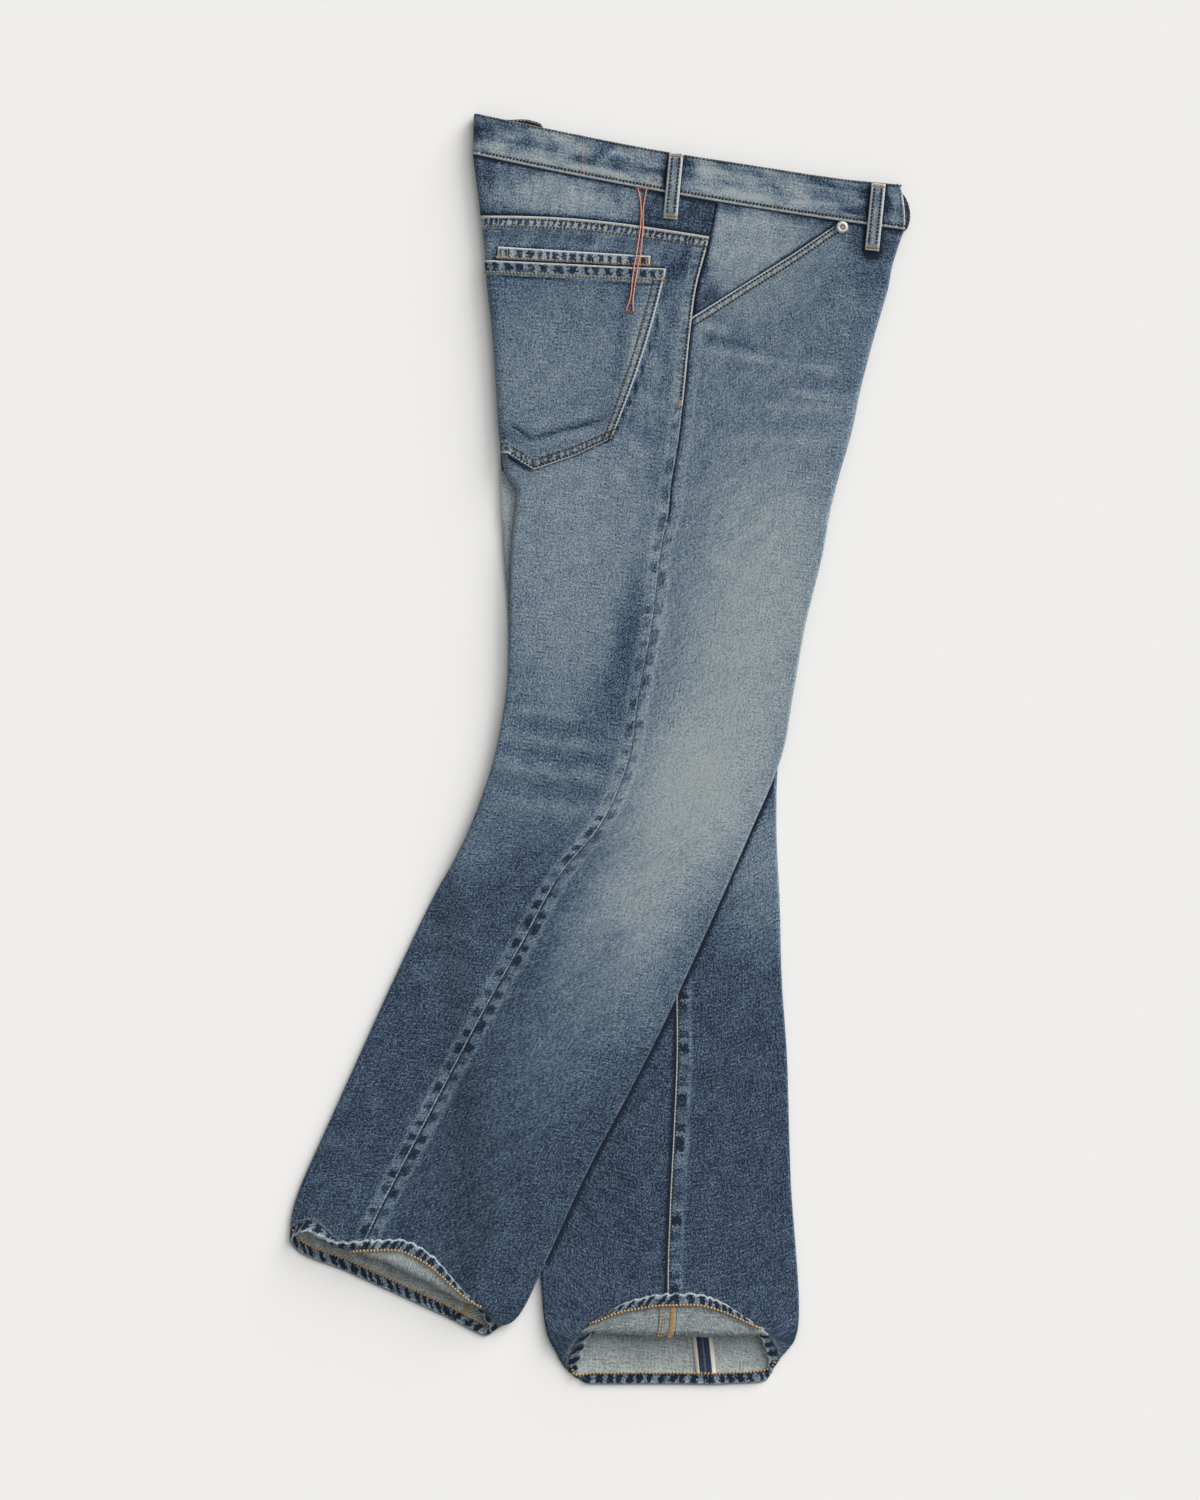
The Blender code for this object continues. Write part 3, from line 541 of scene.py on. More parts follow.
def panel_grid(half, side, top, start_of, join, closed_from):
    """The grid of a front or back panel, and which of its points are there."""
    columns = [Column("outer", share, start_of(share), join) for share in SHARES]
    columns += [Column("fold", angle) for angle in FOLD_ANGLES]
    inner = spread(INNER_WIDTH, dense_first=False, dense_last=True)
    columns += [Column("inner", s, CROTCH_DIP * sin(s * pi / 2), CROTCH_JOIN) for s in inner]
    start = top + np.array(EDGE_STEPS)
    above = np.linspace(start[-1], RISE_END, int((RISE_END - start[-1]) / ROW_STEP) + 1)[1:]
    below = np.linspace(RISE_END, half.length, int((half.length - RISE_END) / ROW_STEP) + 1)[1:]
    rows = np.concatenate([start, above, below])
    lines = []
    for column in columns:
        body = column.points(half, side, rows, RISE_END if column.inside else top)
        lines.append(np.concatenate([body, column.mouth(half, side, body)]))
    points = np.stack(lines, axis=1)
    there = np.ones(points.shape[:2], bool)
    beyond = np.zeros(points.shape[0] - len(rows), bool)
    for start, least in ((closed_from, 0.0), (RISE_END, FLAP_SHARE)):
        inside = [column.inside and (column.share >= least) for column in columns]
        there[np.ix_(np.append(rows < start, beyond), inside)] = False
        inside = [column.inside and column.share < 0 for column in columns]
        there[np.ix_(np.append(rows < closed_from, beyond), inside)] = False
    return points, there


SHARES = spread(150.0)  # where across each outer layer its columns stand
print("columns over 150 mm:", len(SHARES))

# %% [markdown]
# ## Where the cloth is faded
# Washing and wear take the indigo off where the cloth is rubbed: the front of the thigh, the knee and
# the seat. Each fade is one soft ellipse, laid like a dyer's sponge mark, with a tone from 0,
# full indigo, to 1, nearly white. They are applied in order, each one pulling the tone towards its own.

# %% Fades
# A few rows in the waistband's and the facing's tables are painted shade beside a belt loop or a seam.
Fade = namedtuple("Fade", "x y long wide angle tone strength")

RIGHT_FADES = rows_of(Fade, (
    (60, 430, 260, 200, 0, 0.5, 1),
    (40, 180, 260, 150, 0, 0.58, 0.9),
    (-30, 215, 80, 60, 0, 0.64, 0.7),
    (-38, 120, 110, 52, 90, 0.66, 0.7),
    (-18, 262, 70, 22, 10, 0.72, 0.5),
    (148, 120, 190, 78, 80, 0.88, 0.95),
    (92, -40, 110, 78, 65, 0.98, 1),
    (30, -160, 115, 58, 62, 0.86, 0.9),
    (-35, -280, 90, 54, 62, 0.4, 0.6),
    (27, 92, 84, 17, 82, 0.1, 0.8),
    (260, 478, 26, 34, 0, 0.14, 0.75),
    (-124, -92, 34, 44, -35, 0.44, 0.75),
    (126, 402, 22, 9, -25, 0.16, 0.7),
    (-142, -200, 46, 40, 60, 0.26, 0.7),
    (6, 48, 36, 20, 62, 0.26, 0.8),
    (-50, -40, 70, 60, 0, 0.46, 0.7),
    (-88, 0, 26, 60, 0, 0.52, 0.6),
    (222, 312, 60, 46, 0, 0.56, 0.7),
    (78, 400, 100, 16, 84, 0.24, 0.8),
    (240, 492, 18, 13, -20, 0.1, 0.85),
    (274, 486, 9, 18, 0, 0.12, 0.8),
    (48, -238, 60, 30, 62, 0.52, 0.5),
    (2, -196, 40, 22, 62, 0.34, 0.6),
    (-171, -462, 40, 22, 30, 0.08, 0.6),
    (80, 468, 22, 36, 0, 0.16, 0.9),
    (-10, 486, 90, 9, -4, 0.24, 0.8),
    (152, 426, 60, 20, 30, 0.66, 0.6),
    (60, 240, 90, 16, 94, 0.3, 0.5),
    (82, 230, 120, 26, 90, 0.46, 0.5),
    (150, 392, 90, 14, 12, 0.4, 0.4),
    (206, 398, 56, 34, 0, 0.48, 0.5),
    (210, 476, 50, 16, 30, 0.62, 0.6),
))
LEFT_FADES = rows_of(Fade, (
    (160, -110, 90, 60, 90, 0.54, 0.9),
    (0, -430, 60, 60, 0, 0.1, 0.8),
    (-92, 215, 26, 90, 0, 1, 0.95),
    (-88, 110, 16, 80, 0, 0.62, 0.8),
))
BASE_TONE = 0.16


def faded(points, fades):
    """The tone of the cloth at each place."""
    tone = np.full(points.shape[:-1], BASE_TONE)
    for fade in fades:
        turn = radians(fade.angle)
        x, y = points[..., 0] - fade.x, points[..., 1] - fade.y
        along = (x * cos(turn) + y * sin(turn)) / fade.long
        aside = (y * cos(turn) - x * sin(turn)) / fade.wide
        weight = fade.strength * np.exp(-1.2 * (along**2 + aside**2) ** 1.3)
        tone += (fade.tone - tone) * weight
    return tone


print("tone at the knee:", faded(np.array([[92.0, -40.0]]), RIGHT_FADES).round(2))

# %% [markdown]
# ## Marks beside the seams
# Two layers of cloth meet at a seam and pull against each other in the wash. The high places rub pale
# and the hollows stay dark, which makes the roped blocks along hems and seams. Their spacing is uneven,
# so a running count of blocks is worked out along each seam, and stored on the cloth as a number that
# the material can read. The same number raises and lowers the cloth, so colour and form agree.

# %% Roping
REACH = 20.0  # how far from an edge the closeness of rim and hollow is counted
RIDGE = 0.6  # a ridge over a seam allowance wears pale further from its edge than a plain rim


def uneven(along, pitch, seed, spread_of=0.45):
    """A running count of blocks at distances along a seam, with uneven lengths around the pitch."""
    chance = np.random.default_rng(seed)
    steps = pitch * (1 + spread_of * chance.uniform(-1, 1, int(3000 / pitch)))
    return np.interp(along, np.concatenate([[0], np.cumsum(steps)]), np.arange(len(steps) + 1))


def grid_distances(points):
    """Distances over a grid from its top, foot, first column and last column."""
    down, aside = length_of(np.diff(points, axis=0)), length_of(np.diff(points, axis=1))
    top = np.concatenate([np.zeros((1, points.shape[1])), np.cumsum(down, axis=0)])
    first = np.concatenate([np.zeros((points.shape[0], 1)), np.cumsum(aside, axis=1)], axis=1)
    return {"top": top, "foot": top[-1] - top, "first": first, "last": first[:, -1:] - first}


def line_distance(points, line):
    """The distance of each point from a polyline, seen from above."""
    flat = points[..., :2].reshape(-1, 2)
    best = np.full(len(flat), 1e9)
    line = np.asarray(line, float)
    for a, b in zip(line[:-1], line[1:]):
        t = np.clip(((flat - a) @ (b - a)) / ((b - a) @ (b - a)), 0, 1)
        best = np.minimum(best, length_of(flat - a - t[:, None] * (b - a)))
    return best.reshape(points.shape[:-1])


print("blocks in 100 mm:", uneven(100.0, 10.0, 1).round(1))

# %% [markdown]
# ## Wiring a material
# A node material is a small program. These helpers add a node, link or set its inputs, and give back
# the socket that carries the result, so the denim can be written as a few lines of sums.

# %% Node helpers


def add_node(tree, kind, inputs=None, **settings):
    node = tree.nodes.new(kind)
    for key, value in settings.items():
        setattr(node, key, value)
    for socket, value in (inputs or {}).items():
        if isinstance(value, bpy.types.NodeSocket):
            tree.links.new(value, node.inputs[socket])
        else:
            node.inputs[socket].default_value = value
    return node


class Sums:
    """Short names for the sums of one material's tree."""

    def __init__(self, name):
        self.material = bpy.data.materials.new(name)
        self.material.use_nodes = True
        self.tree = self.material.node_tree
        self.shader = self.tree.nodes["Principled BSDF"]

    def sum(self, operation, *values, clamp=False):
        values = dict(enumerate(values))
        return add_node(self.tree, "ShaderNodeMath", values, operation=operation, use_clamp=clamp).outputs[0]

    def add(self, a, b):
        return self.sum("ADD", a, b)

    def times(self, a, b):
        return self.sum("MULTIPLY", a, b)

    def less(self, a, b):
        return self.sum("SUBTRACT", a, b)

    def step(self, value, low, high, start=0.0, end=1.0):
        """Smoothly from start to end as value goes from low to high."""
        inputs = {"Value": value, "From Min": low, "From Max": high, "To Min": start, "To Max": end}
        return add_node(self.tree, "ShaderNodeMapRange", inputs, interpolation_type="SMOOTHSTEP").outputs[0]

    def mark(self, name):
        return add_node(self.tree, "ShaderNodeAttribute", attribute_name=name)

    def number(self, name):
        return self.mark(name).outputs["Fac"]

    def parts(self, name):
        vector = self.mark(name).outputs["Vector"]
        return add_node(self.tree, "ShaderNodeSeparateXYZ", {0: vector}).outputs

    def window(self, value, *ends):
        """One between two smooth steps, and zero outside them. ends are where each step begins and ends."""
        return self.times(self.step(value, *ends[:2]), self.step(value, *ends[2:], 1.0, 0.0))

    def peak(self, value, middle, steepness):
        """One at the middle, falling evenly to zero on both sides."""
        away = self.sum("ABSOLUTE", self.less(value, middle))
        return self.sum("MAXIMUM", self.less(1.0, self.times(away, steepness)), 0.0)

    def stretch(self, vector, scale):
        inputs = {0: vector, 1: scale}
        return add_node(self.tree, "ShaderNodeVectorMath", inputs, operation="MULTIPLY").outputs[0]

    def noise(self, vector, scale, detail=2.0, roughness=0.5):
        inputs = {"Vector": vector, "Scale": scale, "Detail": detail, "Roughness": roughness}
        return add_node(self.tree, "ShaderNodeTexNoise", inputs).outputs[0]

    def ramp(self, value, stops):
        node = add_node(self.tree, "ShaderNodeValToRGB", {0: value})
        elements = node.color_ramp.elements
        while len(elements) < len(stops):
            elements.new(0.5)
        for element, (place, colour) in zip(elements, stops):
            element.position = place
            element.color = (*colour, 1.0)
        return node.outputs[0]

    def mix(self, share, colour, other):
        """A colour with a share of another one, which is three fixed numbers."""
        inputs = {"Factor": share, 6: colour, 7: (*other, 1.0)}
        return add_node(self.tree, "ShaderNodeMix", inputs, data_type="RGBA").outputs[2]

    def bump(self, height, distance, strength=1.0):
        inputs = {"Height": height, "Distance": distance, "Strength": strength}
        return add_node(self.tree, "ShaderNodeBump", inputs).outputs[0]

    def finish(self, colour, roughness, normal=None, **fixed):
        for socket, value in {"Base Color": colour, "Roughness": roughness, "Normal": normal}.items():
            if isinstance(value, bpy.types.NodeSocket):
                self.tree.links.new(value, self.shader.inputs[socket])
            elif value is not None:
                self.shader.inputs[socket].default_value = value
        for socket, value in fixed.items():
            self.shader.inputs[socket.replace("_", " ")].default_value = value
        return self.material


# %% [markdown]
# ## Denim
# Denim is woven from blue warp threads and undyed weft threads. From a step away it reads as a blue
# with a grain: short pale flecks along the warp, fainter streaks across it, and slow clouds from the
# wash. One number, the tone, gathers the fade, the grain and the seam marks, and a single colour ramp
# turns it into cloth. Worn rims go pale. Beside raised edges the cloth is partly unworn and gets painted
# shade, and painted shade also darkens the troughs of the rows of stitches.

# %% Denim materials
INDIGO = (
    (0.00, (0.008, 0.014, 0.028)),
    (0.06, (0.017, 0.029, 0.056)),
    (0.20, (0.037, 0.066, 0.114)),
    (0.40, (0.087, 0.134, 0.194)),
    (0.60, (0.155, 0.207, 0.253)),
    (0.80, (0.232, 0.284, 0.308)),
    (1.00, (0.350, 0.385, 0.388)),
)
LINING = (
    (0.0, (0.08, 0.105, 0.122)),
    (0.5, (0.24, 0.275, 0.282)),
    (1.0, (0.47, 0.51, 0.50)),
)
RIM_TONE, RIM_COLOUR, RIM_SHARE = 1.05, (0.52, 0.55, 0.54), 0.60
LINING_TONE = 0.60
FLECKS, STREAKS = 2.4, 0.85  # how strongly the grain's single flecks and its long yarns show
BLOCK_TONE, BLOCK_DARK = 0.36, 0.90  # the tone between roped blocks, and how far a block goes below it
SPOT_DARK, HALO_PALE = -0.56, 0.25  # the spots beside the side seam, and the worn cloth round them
# Painted shade: beside raised edges, a darker line right next to them, and in the troughs of stitch rows.
HOLLOW_SHADE, PAINTED_SHADOW_LINE, TROUGH_SHADE = 0.32, 0.36, 0.30
CLOUDS = 0.30
THREAD_RELIEF = 0.0005  # metres


def grain_of(sums, weave, threads=1.0):
    """The cloth's flecks and streaks, around zero. threads is how plainly single yarns show."""
    fleck = sums.noise(sums.stretch(weave, (0.62, 0.50, 1.0)), 1.0, 2.0, 0.85)
    warp = sums.noise(sums.stretch(weave, (0.50, 0.07, 1.0)), 1.0, 1.0)
    weft = sums.noise(sums.stretch(weave, (0.07, 0.50, 1.0)), 1.0, 1.0)
    cloud = sums.noise(sums.stretch(weave, (0.055, 0.045, 1.0)), 1.0, 3.0)
    flecks = sums.times(sums.less(fleck, 0.5), FLECKS)
    streaks = sums.times(sums.add(sums.less(warp, 0.5), sums.less(weft, 0.5)), STREAKS * threads)
    return sums.add(flecks, streaks), sums.less(cloud, 0.5)


def by_block(sums, count, fine, bend):
    """A wave along a seam and a number of its own for each block."""
    bent = sums.add(count, sums.times(fine, bend))
    floor = sums.sum("FLOOR", bent)
    own = add_node(sums.tree, "ShaderNodeTexWhiteNoise", {"W": floor}, noise_dimensions="1D").outputs[0]
    return sums.sum("SINE", sums.times(bent, 2 * pi)), own


def roped_band(sums, fine):
    """Dark and pale blocks across the width of a hem or a lapped seam."""
    count, share, strength = sums.parts("band")
    wave, own = by_block(sums, count, fine, 1.1)
    block = sums.step(sums.add(wave, sums.times(own, 0.9)), -0.1, 0.7)
    inside = sums.window(sums.add(share, sums.times(fine, 0.5)), 0.04, 0.26, 0.72, 1.0)
    dark = sums.times(sums.times(block, inside), sums.times(strength, BLOCK_DARK))
    return sums.times(sums.less(BLOCK_TONE, dark), strength)


def busted_seam(sums, fine):
    """The side seam: a pale line, a fine shadow, and pairs of dark spots in a pale halo."""
    count, place, strength = sums.parts("side")
    wave, own = by_block(sums, sums.add(count, sums.times(place, 0.010)), fine, 0.6)
    spot = sums.step(sums.add(wave, sums.times(own, 1.5)), 0.10, 1.50)
    spot = sums.times(spot, sums.step(own, 0.0, 0.7, 0.6, 1.0))
    ragged = sums.add(sums.sum("ABSOLUTE", place), sums.times(fine, 5.0))
    spots = sums.times(sums.times(sums.window(ragged, 0.8, 2.2, 6.4, 10.0), spot), SPOT_DARK)
    halo = sums.times(sums.window(ragged, 0.5, 3.0, 9.0, 14.0), HALO_PALE)
    white = sums.times(sums.peak(place, -0.7, 1.3), sums.add(0.75, sums.times(fine, 2.0)))
    black = sums.times(sums.peak(place, 0.6, 1.7), -0.45)
    lines = sums.times(sums.add(white, black), sums.times(strength, strength))
    return sums.times(sums.add(sums.add(spots, halo), lines), strength)


def denim_face(name):
    """The outer side: the stored fade, the seam marks and the grain as one tone, pale worn rims, and painted
    shade beside raised edges and in stitch troughs.
    """
    sums = Sums(name)
    weave = sums.mark("weave").outputs["Vector"]
    grain, cloud = grain_of(sums, weave, 0.5)
    fine = sums.less(sums.noise(weave, 0.42, 2.0), 0.5)
    rim = sums.step(sums.add(sums.number("rim"), sums.times(fine, 2.8)), REACH - 1.7, REACH - 0.7)
    # Painted shade beside raised edges, where the cloth is also partly unworn, and in the stitch troughs.
    ragged = sums.add(sums.number("hollow"), sums.times(fine, 4.0))
    shade = sums.times(sums.step(ragged, REACH - 6.0, REACH - 1.0), HOLLOW_SHADE)
    line = sums.times(sums.step(sums.number("hollow"), REACH - 2.4, REACH - 0.9), PAINTED_SHADOW_LINE)
    dark = sums.add(sums.add(shade, line), sums.times(sums.number("trough"), TROUGH_SHADE))
    streaks = sums.less(sums.noise(sums.stretch(weave, (0.17, 0.028, 1.0)), 1.0, 2.0), 0.5)
    mottle = sums.times(sums.add(cloud, streaks), sums.number("mottle"))
    tone = sums.add(sums.number("fade"), sums.add(sums.times(cloud, CLOUDS), mottle))
    tone = sums.add(tone, sums.add(roped_band(sums, fine), busted_seam(sums, fine)))
    tone = sums.less(tone, dark)
    tone = sums.add(tone, sums.times(rim, sums.less(RIM_TONE, tone)))
    colour = sums.ramp(sums.add(tone, grain), INDIGO)
    colour = sums.mix(sums.times(rim, RIM_SHARE), colour, RIM_COLOUR)
    normal = sums.bump(grain, THREAD_RELIEF, 0.6)
    return sums.finish(colour, 0.88, normal, Sheen_Weight=0.08, Specular_IOR_Level=0.2)


def denim_reverse(name):
    """The inner side, where the undyed weft shows: grey with dark flecks, shifted by the stored lining
    number, which holds painted light and shade inside the left hem.
    """
    sums = Sums(name)
    grain, cloud = grain_of(sums, sums.mark("weave").outputs["Vector"])
    tone = sums.add(sums.number("lining"), sums.add(sums.times(grain, 0.9), sums.times(cloud, CLOUDS)))
    colour = sums.ramp(sums.add(LINING_TONE, tone), LINING)
    normal = sums.bump(grain, THREAD_RELIEF, 0.6)
    return sums.finish(colour, 0.92, normal, Sheen_Weight=0.05, Specular_IOR_Level=0.2)


DENIM = denim_face("denim_face")
DENIM_INSIDE = denim_reverse("denim_reverse")
LINED = (DENIM, DENIM_INSIDE, DENIM, DENIM)  # the wall's two sides, and the two sides of a turned-up hem
PLAIN = (DENIM,) * 4
print("denim nodes:", len(DENIM.node_tree.nodes))

# %% [markdown]
# ## From a grid to a sheet of cloth
# A sheet is an open grid of its outer points. Its edges are lowered a little so that they look rolled,
# and Solidify adds the wall on the inner side, doubled where a hem is turned up. The inner side takes
# the next material slot, which is how the pale reverse of denim is made. Blender copies the marks to
# the new points, and new_from_object then makes the result a plain mesh.

# %% Sheets of cloth
PIECES = {}
GRIDS = {}
FACE, HEM_FACE = 0, 2  # material slots, each followed by the slot of its inner side
ROLL_SHARE = 0.45  # the radius of a rolled edge, as a share of the wall
THINNEST = 0.12  # the least share of the wall that stays at a rolled edge
WEAVE_APART = 37.0  # how far apart in the noise the grains of two pieces lie


def normals_of(points, flip):
    by_row = np.gradient(points, axis=0)
    by_column = np.gradient(points, axis=1)
    normals = np.cross(by_row, by_column)
    normals /= np.maximum(np.linalg.norm(normals, axis=-1, keepdims=True), 1e-9)
    return -normals if flip else normals


def rolled(distance, radius):
    """How much the surface is lowered at a distance from a rolled edge."""
    inside = np.clip(1 - distance / radius, 0, 1)
    return radius * (1 - np.sqrt(1 - inside**2)) * 0.9


def plain_mesh(made):
    """Replaces an object's modifiers by their result."""
    graph = bpy.context.evaluated_depsgraph_get()
    result = bpy.data.meshes.new_from_object(made.evaluated_get(graph))
    made.modifiers.clear()
    made.vertex_groups.clear()
    made.data = result
    result.name = made.name
    return made


def kept_off_the_table(mesh):
    """Lifts what the wall pushed into the surface that the jeans lie on."""
    places = np.empty(3 * len(mesh.vertices), np.float32)
    mesh.vertices.foreach_get("co", places)
    places[2::3] = np.maximum(places[2::3], 0.0)
    mesh.vertices.foreach_set("co", places)


def cloth(name, points, wall, marks, there=None, flip=False, roll=(), relief=0.0, thick=1.0, hem_rows=None,
          surfaces=LINED, edges=None):  # fmt: skip
    """A sheet through a grid. marks are its numbers, and roll names its rolled edges."""
    there = np.ones(points.shape[:2], bool) if there is None else there
    edges = edges or grid_distances(points)
    normals = normals_of(points, flip)
    thick = np.broadcast_to(np.asarray(thick, float), points.shape[:2]).copy()
    lowered = np.zeros(points.shape[:2])
    for edge in roll:
        lowered = np.maximum(lowered, rolled(edges[edge], ROLL_SHARE * wall))
    points = points + normals * (relief - lowered)[..., None]
    thick = np.clip(thick - 2 * lowered / wall, THINNEST, 1.0)
    GRIDS[name] = (points, normals, edges, thick * wall, there)

    index = np.full(there.shape, -1)
    index[there] = np.arange(there.sum())
    corners = np.stack([index[:-1, :-1], index[1:, :-1], index[1:, 1:], index[:-1, 1:]], axis=-1)
    kept = corners.min(-1) >= 0
    slots = np.full(kept.shape, FACE)
    if hem_rows is not None:
        slots[(hem_rows[:-1] & hem_rows[1:])[:, 1:]] = HEM_FACE
    faces = corners[kept]
    faces = faces[:, ::-1] if flip else faces
    mesh = bpy.data.meshes.new(name)
    mesh.from_pydata((points[there] * MM).tolist(), [], faces.tolist())
    mesh.polygons.foreach_set("material_index", slots[kept].astype(np.int32))
    mesh.shade_smooth()
    weave = np.stack([edges["first"], edges["top"], np.full(there.shape, len(PIECES) * WEAVE_APART)], -1)
    for mark, values in {"weave": weave, **marks}.items():
        values = np.asarray(values, float)
        kind = "FLOAT_VECTOR" if values.shape[-1:] == (3,) and values.ndim == 3 else "FLOAT"
        stored = mesh.attributes.new(mark, kind, "POINT")
        flat = np.broadcast_to(values, there.shape + (values.shape[2:] if values.ndim == 3 else ()))
        field = "vector" if kind == "FLOAT_VECTOR" else "value"
        stored.data.foreach_set(field, flat[there].astype(np.float32).ravel())
    made = add_object(name, mesh)
    group = made.vertex_groups.new(name="wall")
    for vertex, share in enumerate(thick[there].tolist()):
        group.add([vertex], share, "REPLACE")
    solid = made.modifiers.new("wall", "SOLIDIFY")
    solid.thickness = wall * MM
    solid.offset = -1.0
    solid.vertex_group = "wall"
    solid.material_offset = 1
    for surface in surfaces:
        mesh.materials.append(surface)
    PIECES[name] = plain_mesh(made)
    kept_off_the_table(made.data)
    print(name, len(made.data.polygons), "faces")


def vector_mark(a, b, c, shape):
    return np.stack([np.broadcast_to(np.asarray(v, float), shape) for v in (a, b, c)], axis=-1)


# %% [markdown]
# ## Soft creases
# The cloth was pressed flat but remembers being worn: whiskers run out from the front of the hip, and
# bands cross the back of the knee. Each crease is a soft trough or ridge between two places, with its
# own width and height, and a slight change of tone because a ridge fades first.

# %% Creases
Crease = namedtuple("Crease", "x1 y1 x2 y2 width height tone")

RIGHT_CREASES = rows_of(Crease, (
    (92, 402, 122, 396, 5, 0.5, 0.14),
    (100, 392, 150, 382, 5, -0.4, -0.16),
    (98, 380, 160, 368, 4, 0.4, 0.16),
    (140, 372, 238, 356, 4, 0.4, 0.13),
    (130, 362, 244, 378, 8, -0.4, -0.04),
    (180, 338, 236, 334, 4, 0.4, 0.14),
    (110, 344, 190, 330, 9, -0.4, -0.06),
    (150, 326, 226, 322, 4, 0.4, 0.12),
    (175, 348, 242, 344, 7, -0.3, -0.08),
    (110, 308, 200, 306, 8, -0.3, -0.08),
    (140, 292, 226, 294, 5, 0.3, 0.07),
    (-88, 40, -20, 30, 5, 0.5, 0.12),
    (-90, 26, 0, 14, 6, -0.5, -0.08),
    (-92, 12, 8, 0, 5, 0.6, 0.13),
    (-96, -2, 8, -14, 6, -0.5, -0.08),
    (-100, -16, 6, -28, 5, 0.5, 0.11),
    (-105, -32, 0, -44, 7, -0.5, -0.09),
    (-110, -50, -10, -60, 7, 0.4, 0.1),
))
LEFT_CREASES = rows_of(Crease, (
    (100, -120, 165, -112, 12, 0.15, 0.05),
    (95, -200, 170, -215, 14, -0.3, -0.03),
))


def creased(points, creases):
    """The height and the change of tone that the creases give."""
    height = np.zeros(points.shape[:-1])
    tone = np.zeros(points.shape[:-1])
    for c in creases:
        a, b = np.array([c.x1, c.y1], float), np.array([c.x2, c.y2], float)
        flat = points[..., :2] - a
        t = (flat @ (b - a)) / ((b - a) @ (b - a))
        near = length_of(flat - np.clip(t, 0, 1)[..., None] * (b - a))
        taper = smoothstep(1.6 - np.abs(2 * t - 1) * 1.1)
        weight = np.exp(-((near / c.width) ** 2)) * taper
        height += c.height * weight
        tone += c.tone * weight
    return height, tone


print("creases:", len(RIGHT_CREASES) + len(LEFT_CREASES))

# %% [markdown]
# ## The four panels
# Each panel runs from the waist to the hem and round the folded edge to the inseam. Its marks say how
# close each point is to a worn edge (rim), to something that stands above it, where shade is painted
# (hollow), where it lies in a roped band (band), and where beside the side seam (side).

# %% Panels
# Lengths of the roped blocks along each seam, and how wide each band of them is.
SIDE_PITCH, HEM_PITCH, FELL_PITCH, YOKE_PITCH, SLANT_PITCH, LAP_PITCH = 20.0, 9.5, 17.0, 5.5, 7.0, 9.0
FELL_WIDTH, SLANT_WIDTH, YOKE_BAND, SIDE_WIDTH = 13.0, 10.6, 10.6, 11.0
SIDE_SEED = 5  # one for all panels, so that the spots of front and back face each other

# How strongly each seam is roped, and how much paler its doubled cloth is.
YOKE_ROPING, SLANT_ROPING, BACK_LAP_ROPING, FRONT_LAP_ROPING = 0.95, 0.62, 0.5, 0.35
YOKE_PALE, SLANT_PALE, LAP_PALE, HEM_PALE = 0.20, 0.24, 0.14, 0.42
ABOVE_KNEE = 0.66  # how strongly the side seam is marked above the knee
FELL_SPREAD, FELL_STRENGTH, FELL_PATCHES, PATCH_PITCH, PATCH_SPREAD = 0.75, 0.62, 0.26, 43.0, 0.8

LAP_END, LAP_BLEND = 193.0, 8.0  # down to here the back laps over the front at the side seam
LEG_BLEND = 20.0
KNEE, KNEE_BLEND = 520.0, 80.0
SIDE_MARK_END, SIDE_MARK_BLEND = 22.0, 8.0
FLAP_START = 262.0
OVERLAP_START = 500.0  # from here down the right leg's front edge may lie on the left leg
TROUGH_WIDTH, TROUGH_DEPTH = 1.7, 0.3
# Paler where the cloth turns away from straight up: partly rubbed folded edges, partly painted light that
# lifts the shade the lamps leave on the sides.
EDGE_WEAR_AND_PAINTED_LIGHT = 0.22
SCALLOP = 1.0  # how far the roped hem's edge waves in and out
HEM_SLANT = 0.35  # how far its blocks lean, in blocks
HIP_MOTTLE, BACK_MOTTLE, FRONT_MOTTLE, MOTTLE_BLEND = 180.0, 0.4, 0.12, 120.0
# Painted light and shade inside the left hem: its reverse is lighter where it lies on the surface and darker
# in the raised lip.
LINING_PAINTED_LIGHT, LINING_PAINTED_SHADE = 0.11, -0.15  # the left hem's reverse, on the surface and in the raised lip
LINING_RIGHT = 0.05
ON_TABLE, LIP_START, LIP_RISE = 0.6, 2.0, 5.0  # levels: no relief below, and where the raised lip begins

# Rows of stitches: the edge they follow and their distance from it.
YOKE_ROWS = (("top", 2.9), ("top", 10.0))
BAND_ROWS = (("first", 3.8), ("last", 1.2))
SIDE_ROWS = (("first", 2.4),)
SLANT_ROWS = (("top", 2.9), ("top", 10.0))
HEM_ROWS = (("foot", 11.2),)
INSEAM_ROWS = (("last", 2.0),)
POCKET_ROWS = (("top", 11.0), ("last", 2.7), ("last", 9.4), ("foot", 2.4), ("foot", 9.4))
LOOP_ROWS = (("first", 3.2), ("last", 3.2))

Loop = namedtuple("Loop", "name top foot width")
LOOPS = (
    Loop("belt_loop_side_cloth", (72.5, 567), (66.5, 504), 13.5),
    Loop("belt_loop_front_cloth", (264.5, 538), (258, 474), 13.5),
)

POCKET_TOP = ((-107, 465), (63, 457))
POCKET_SIDE_BULGE = 4.0
POCKET_FOOT = ((-93, 282), (-67, 266), (-27, 279), (11, 296))
STRIP_TOP = ((-97, 478), (48, 469))
STRIP_FOOT = ((-98, 466.3), (47, 459))
POCKET_OUTLINE = (POCKET_TOP[0], POCKET_TOP[1], (58, 420), (44, 372), (30, 335), *POCKET_FOOT[::-1])
STRIP_OUTLINE = (STRIP_TOP[0], STRIP_TOP[1], STRIP_FOOT[1], STRIP_FOOT[0])


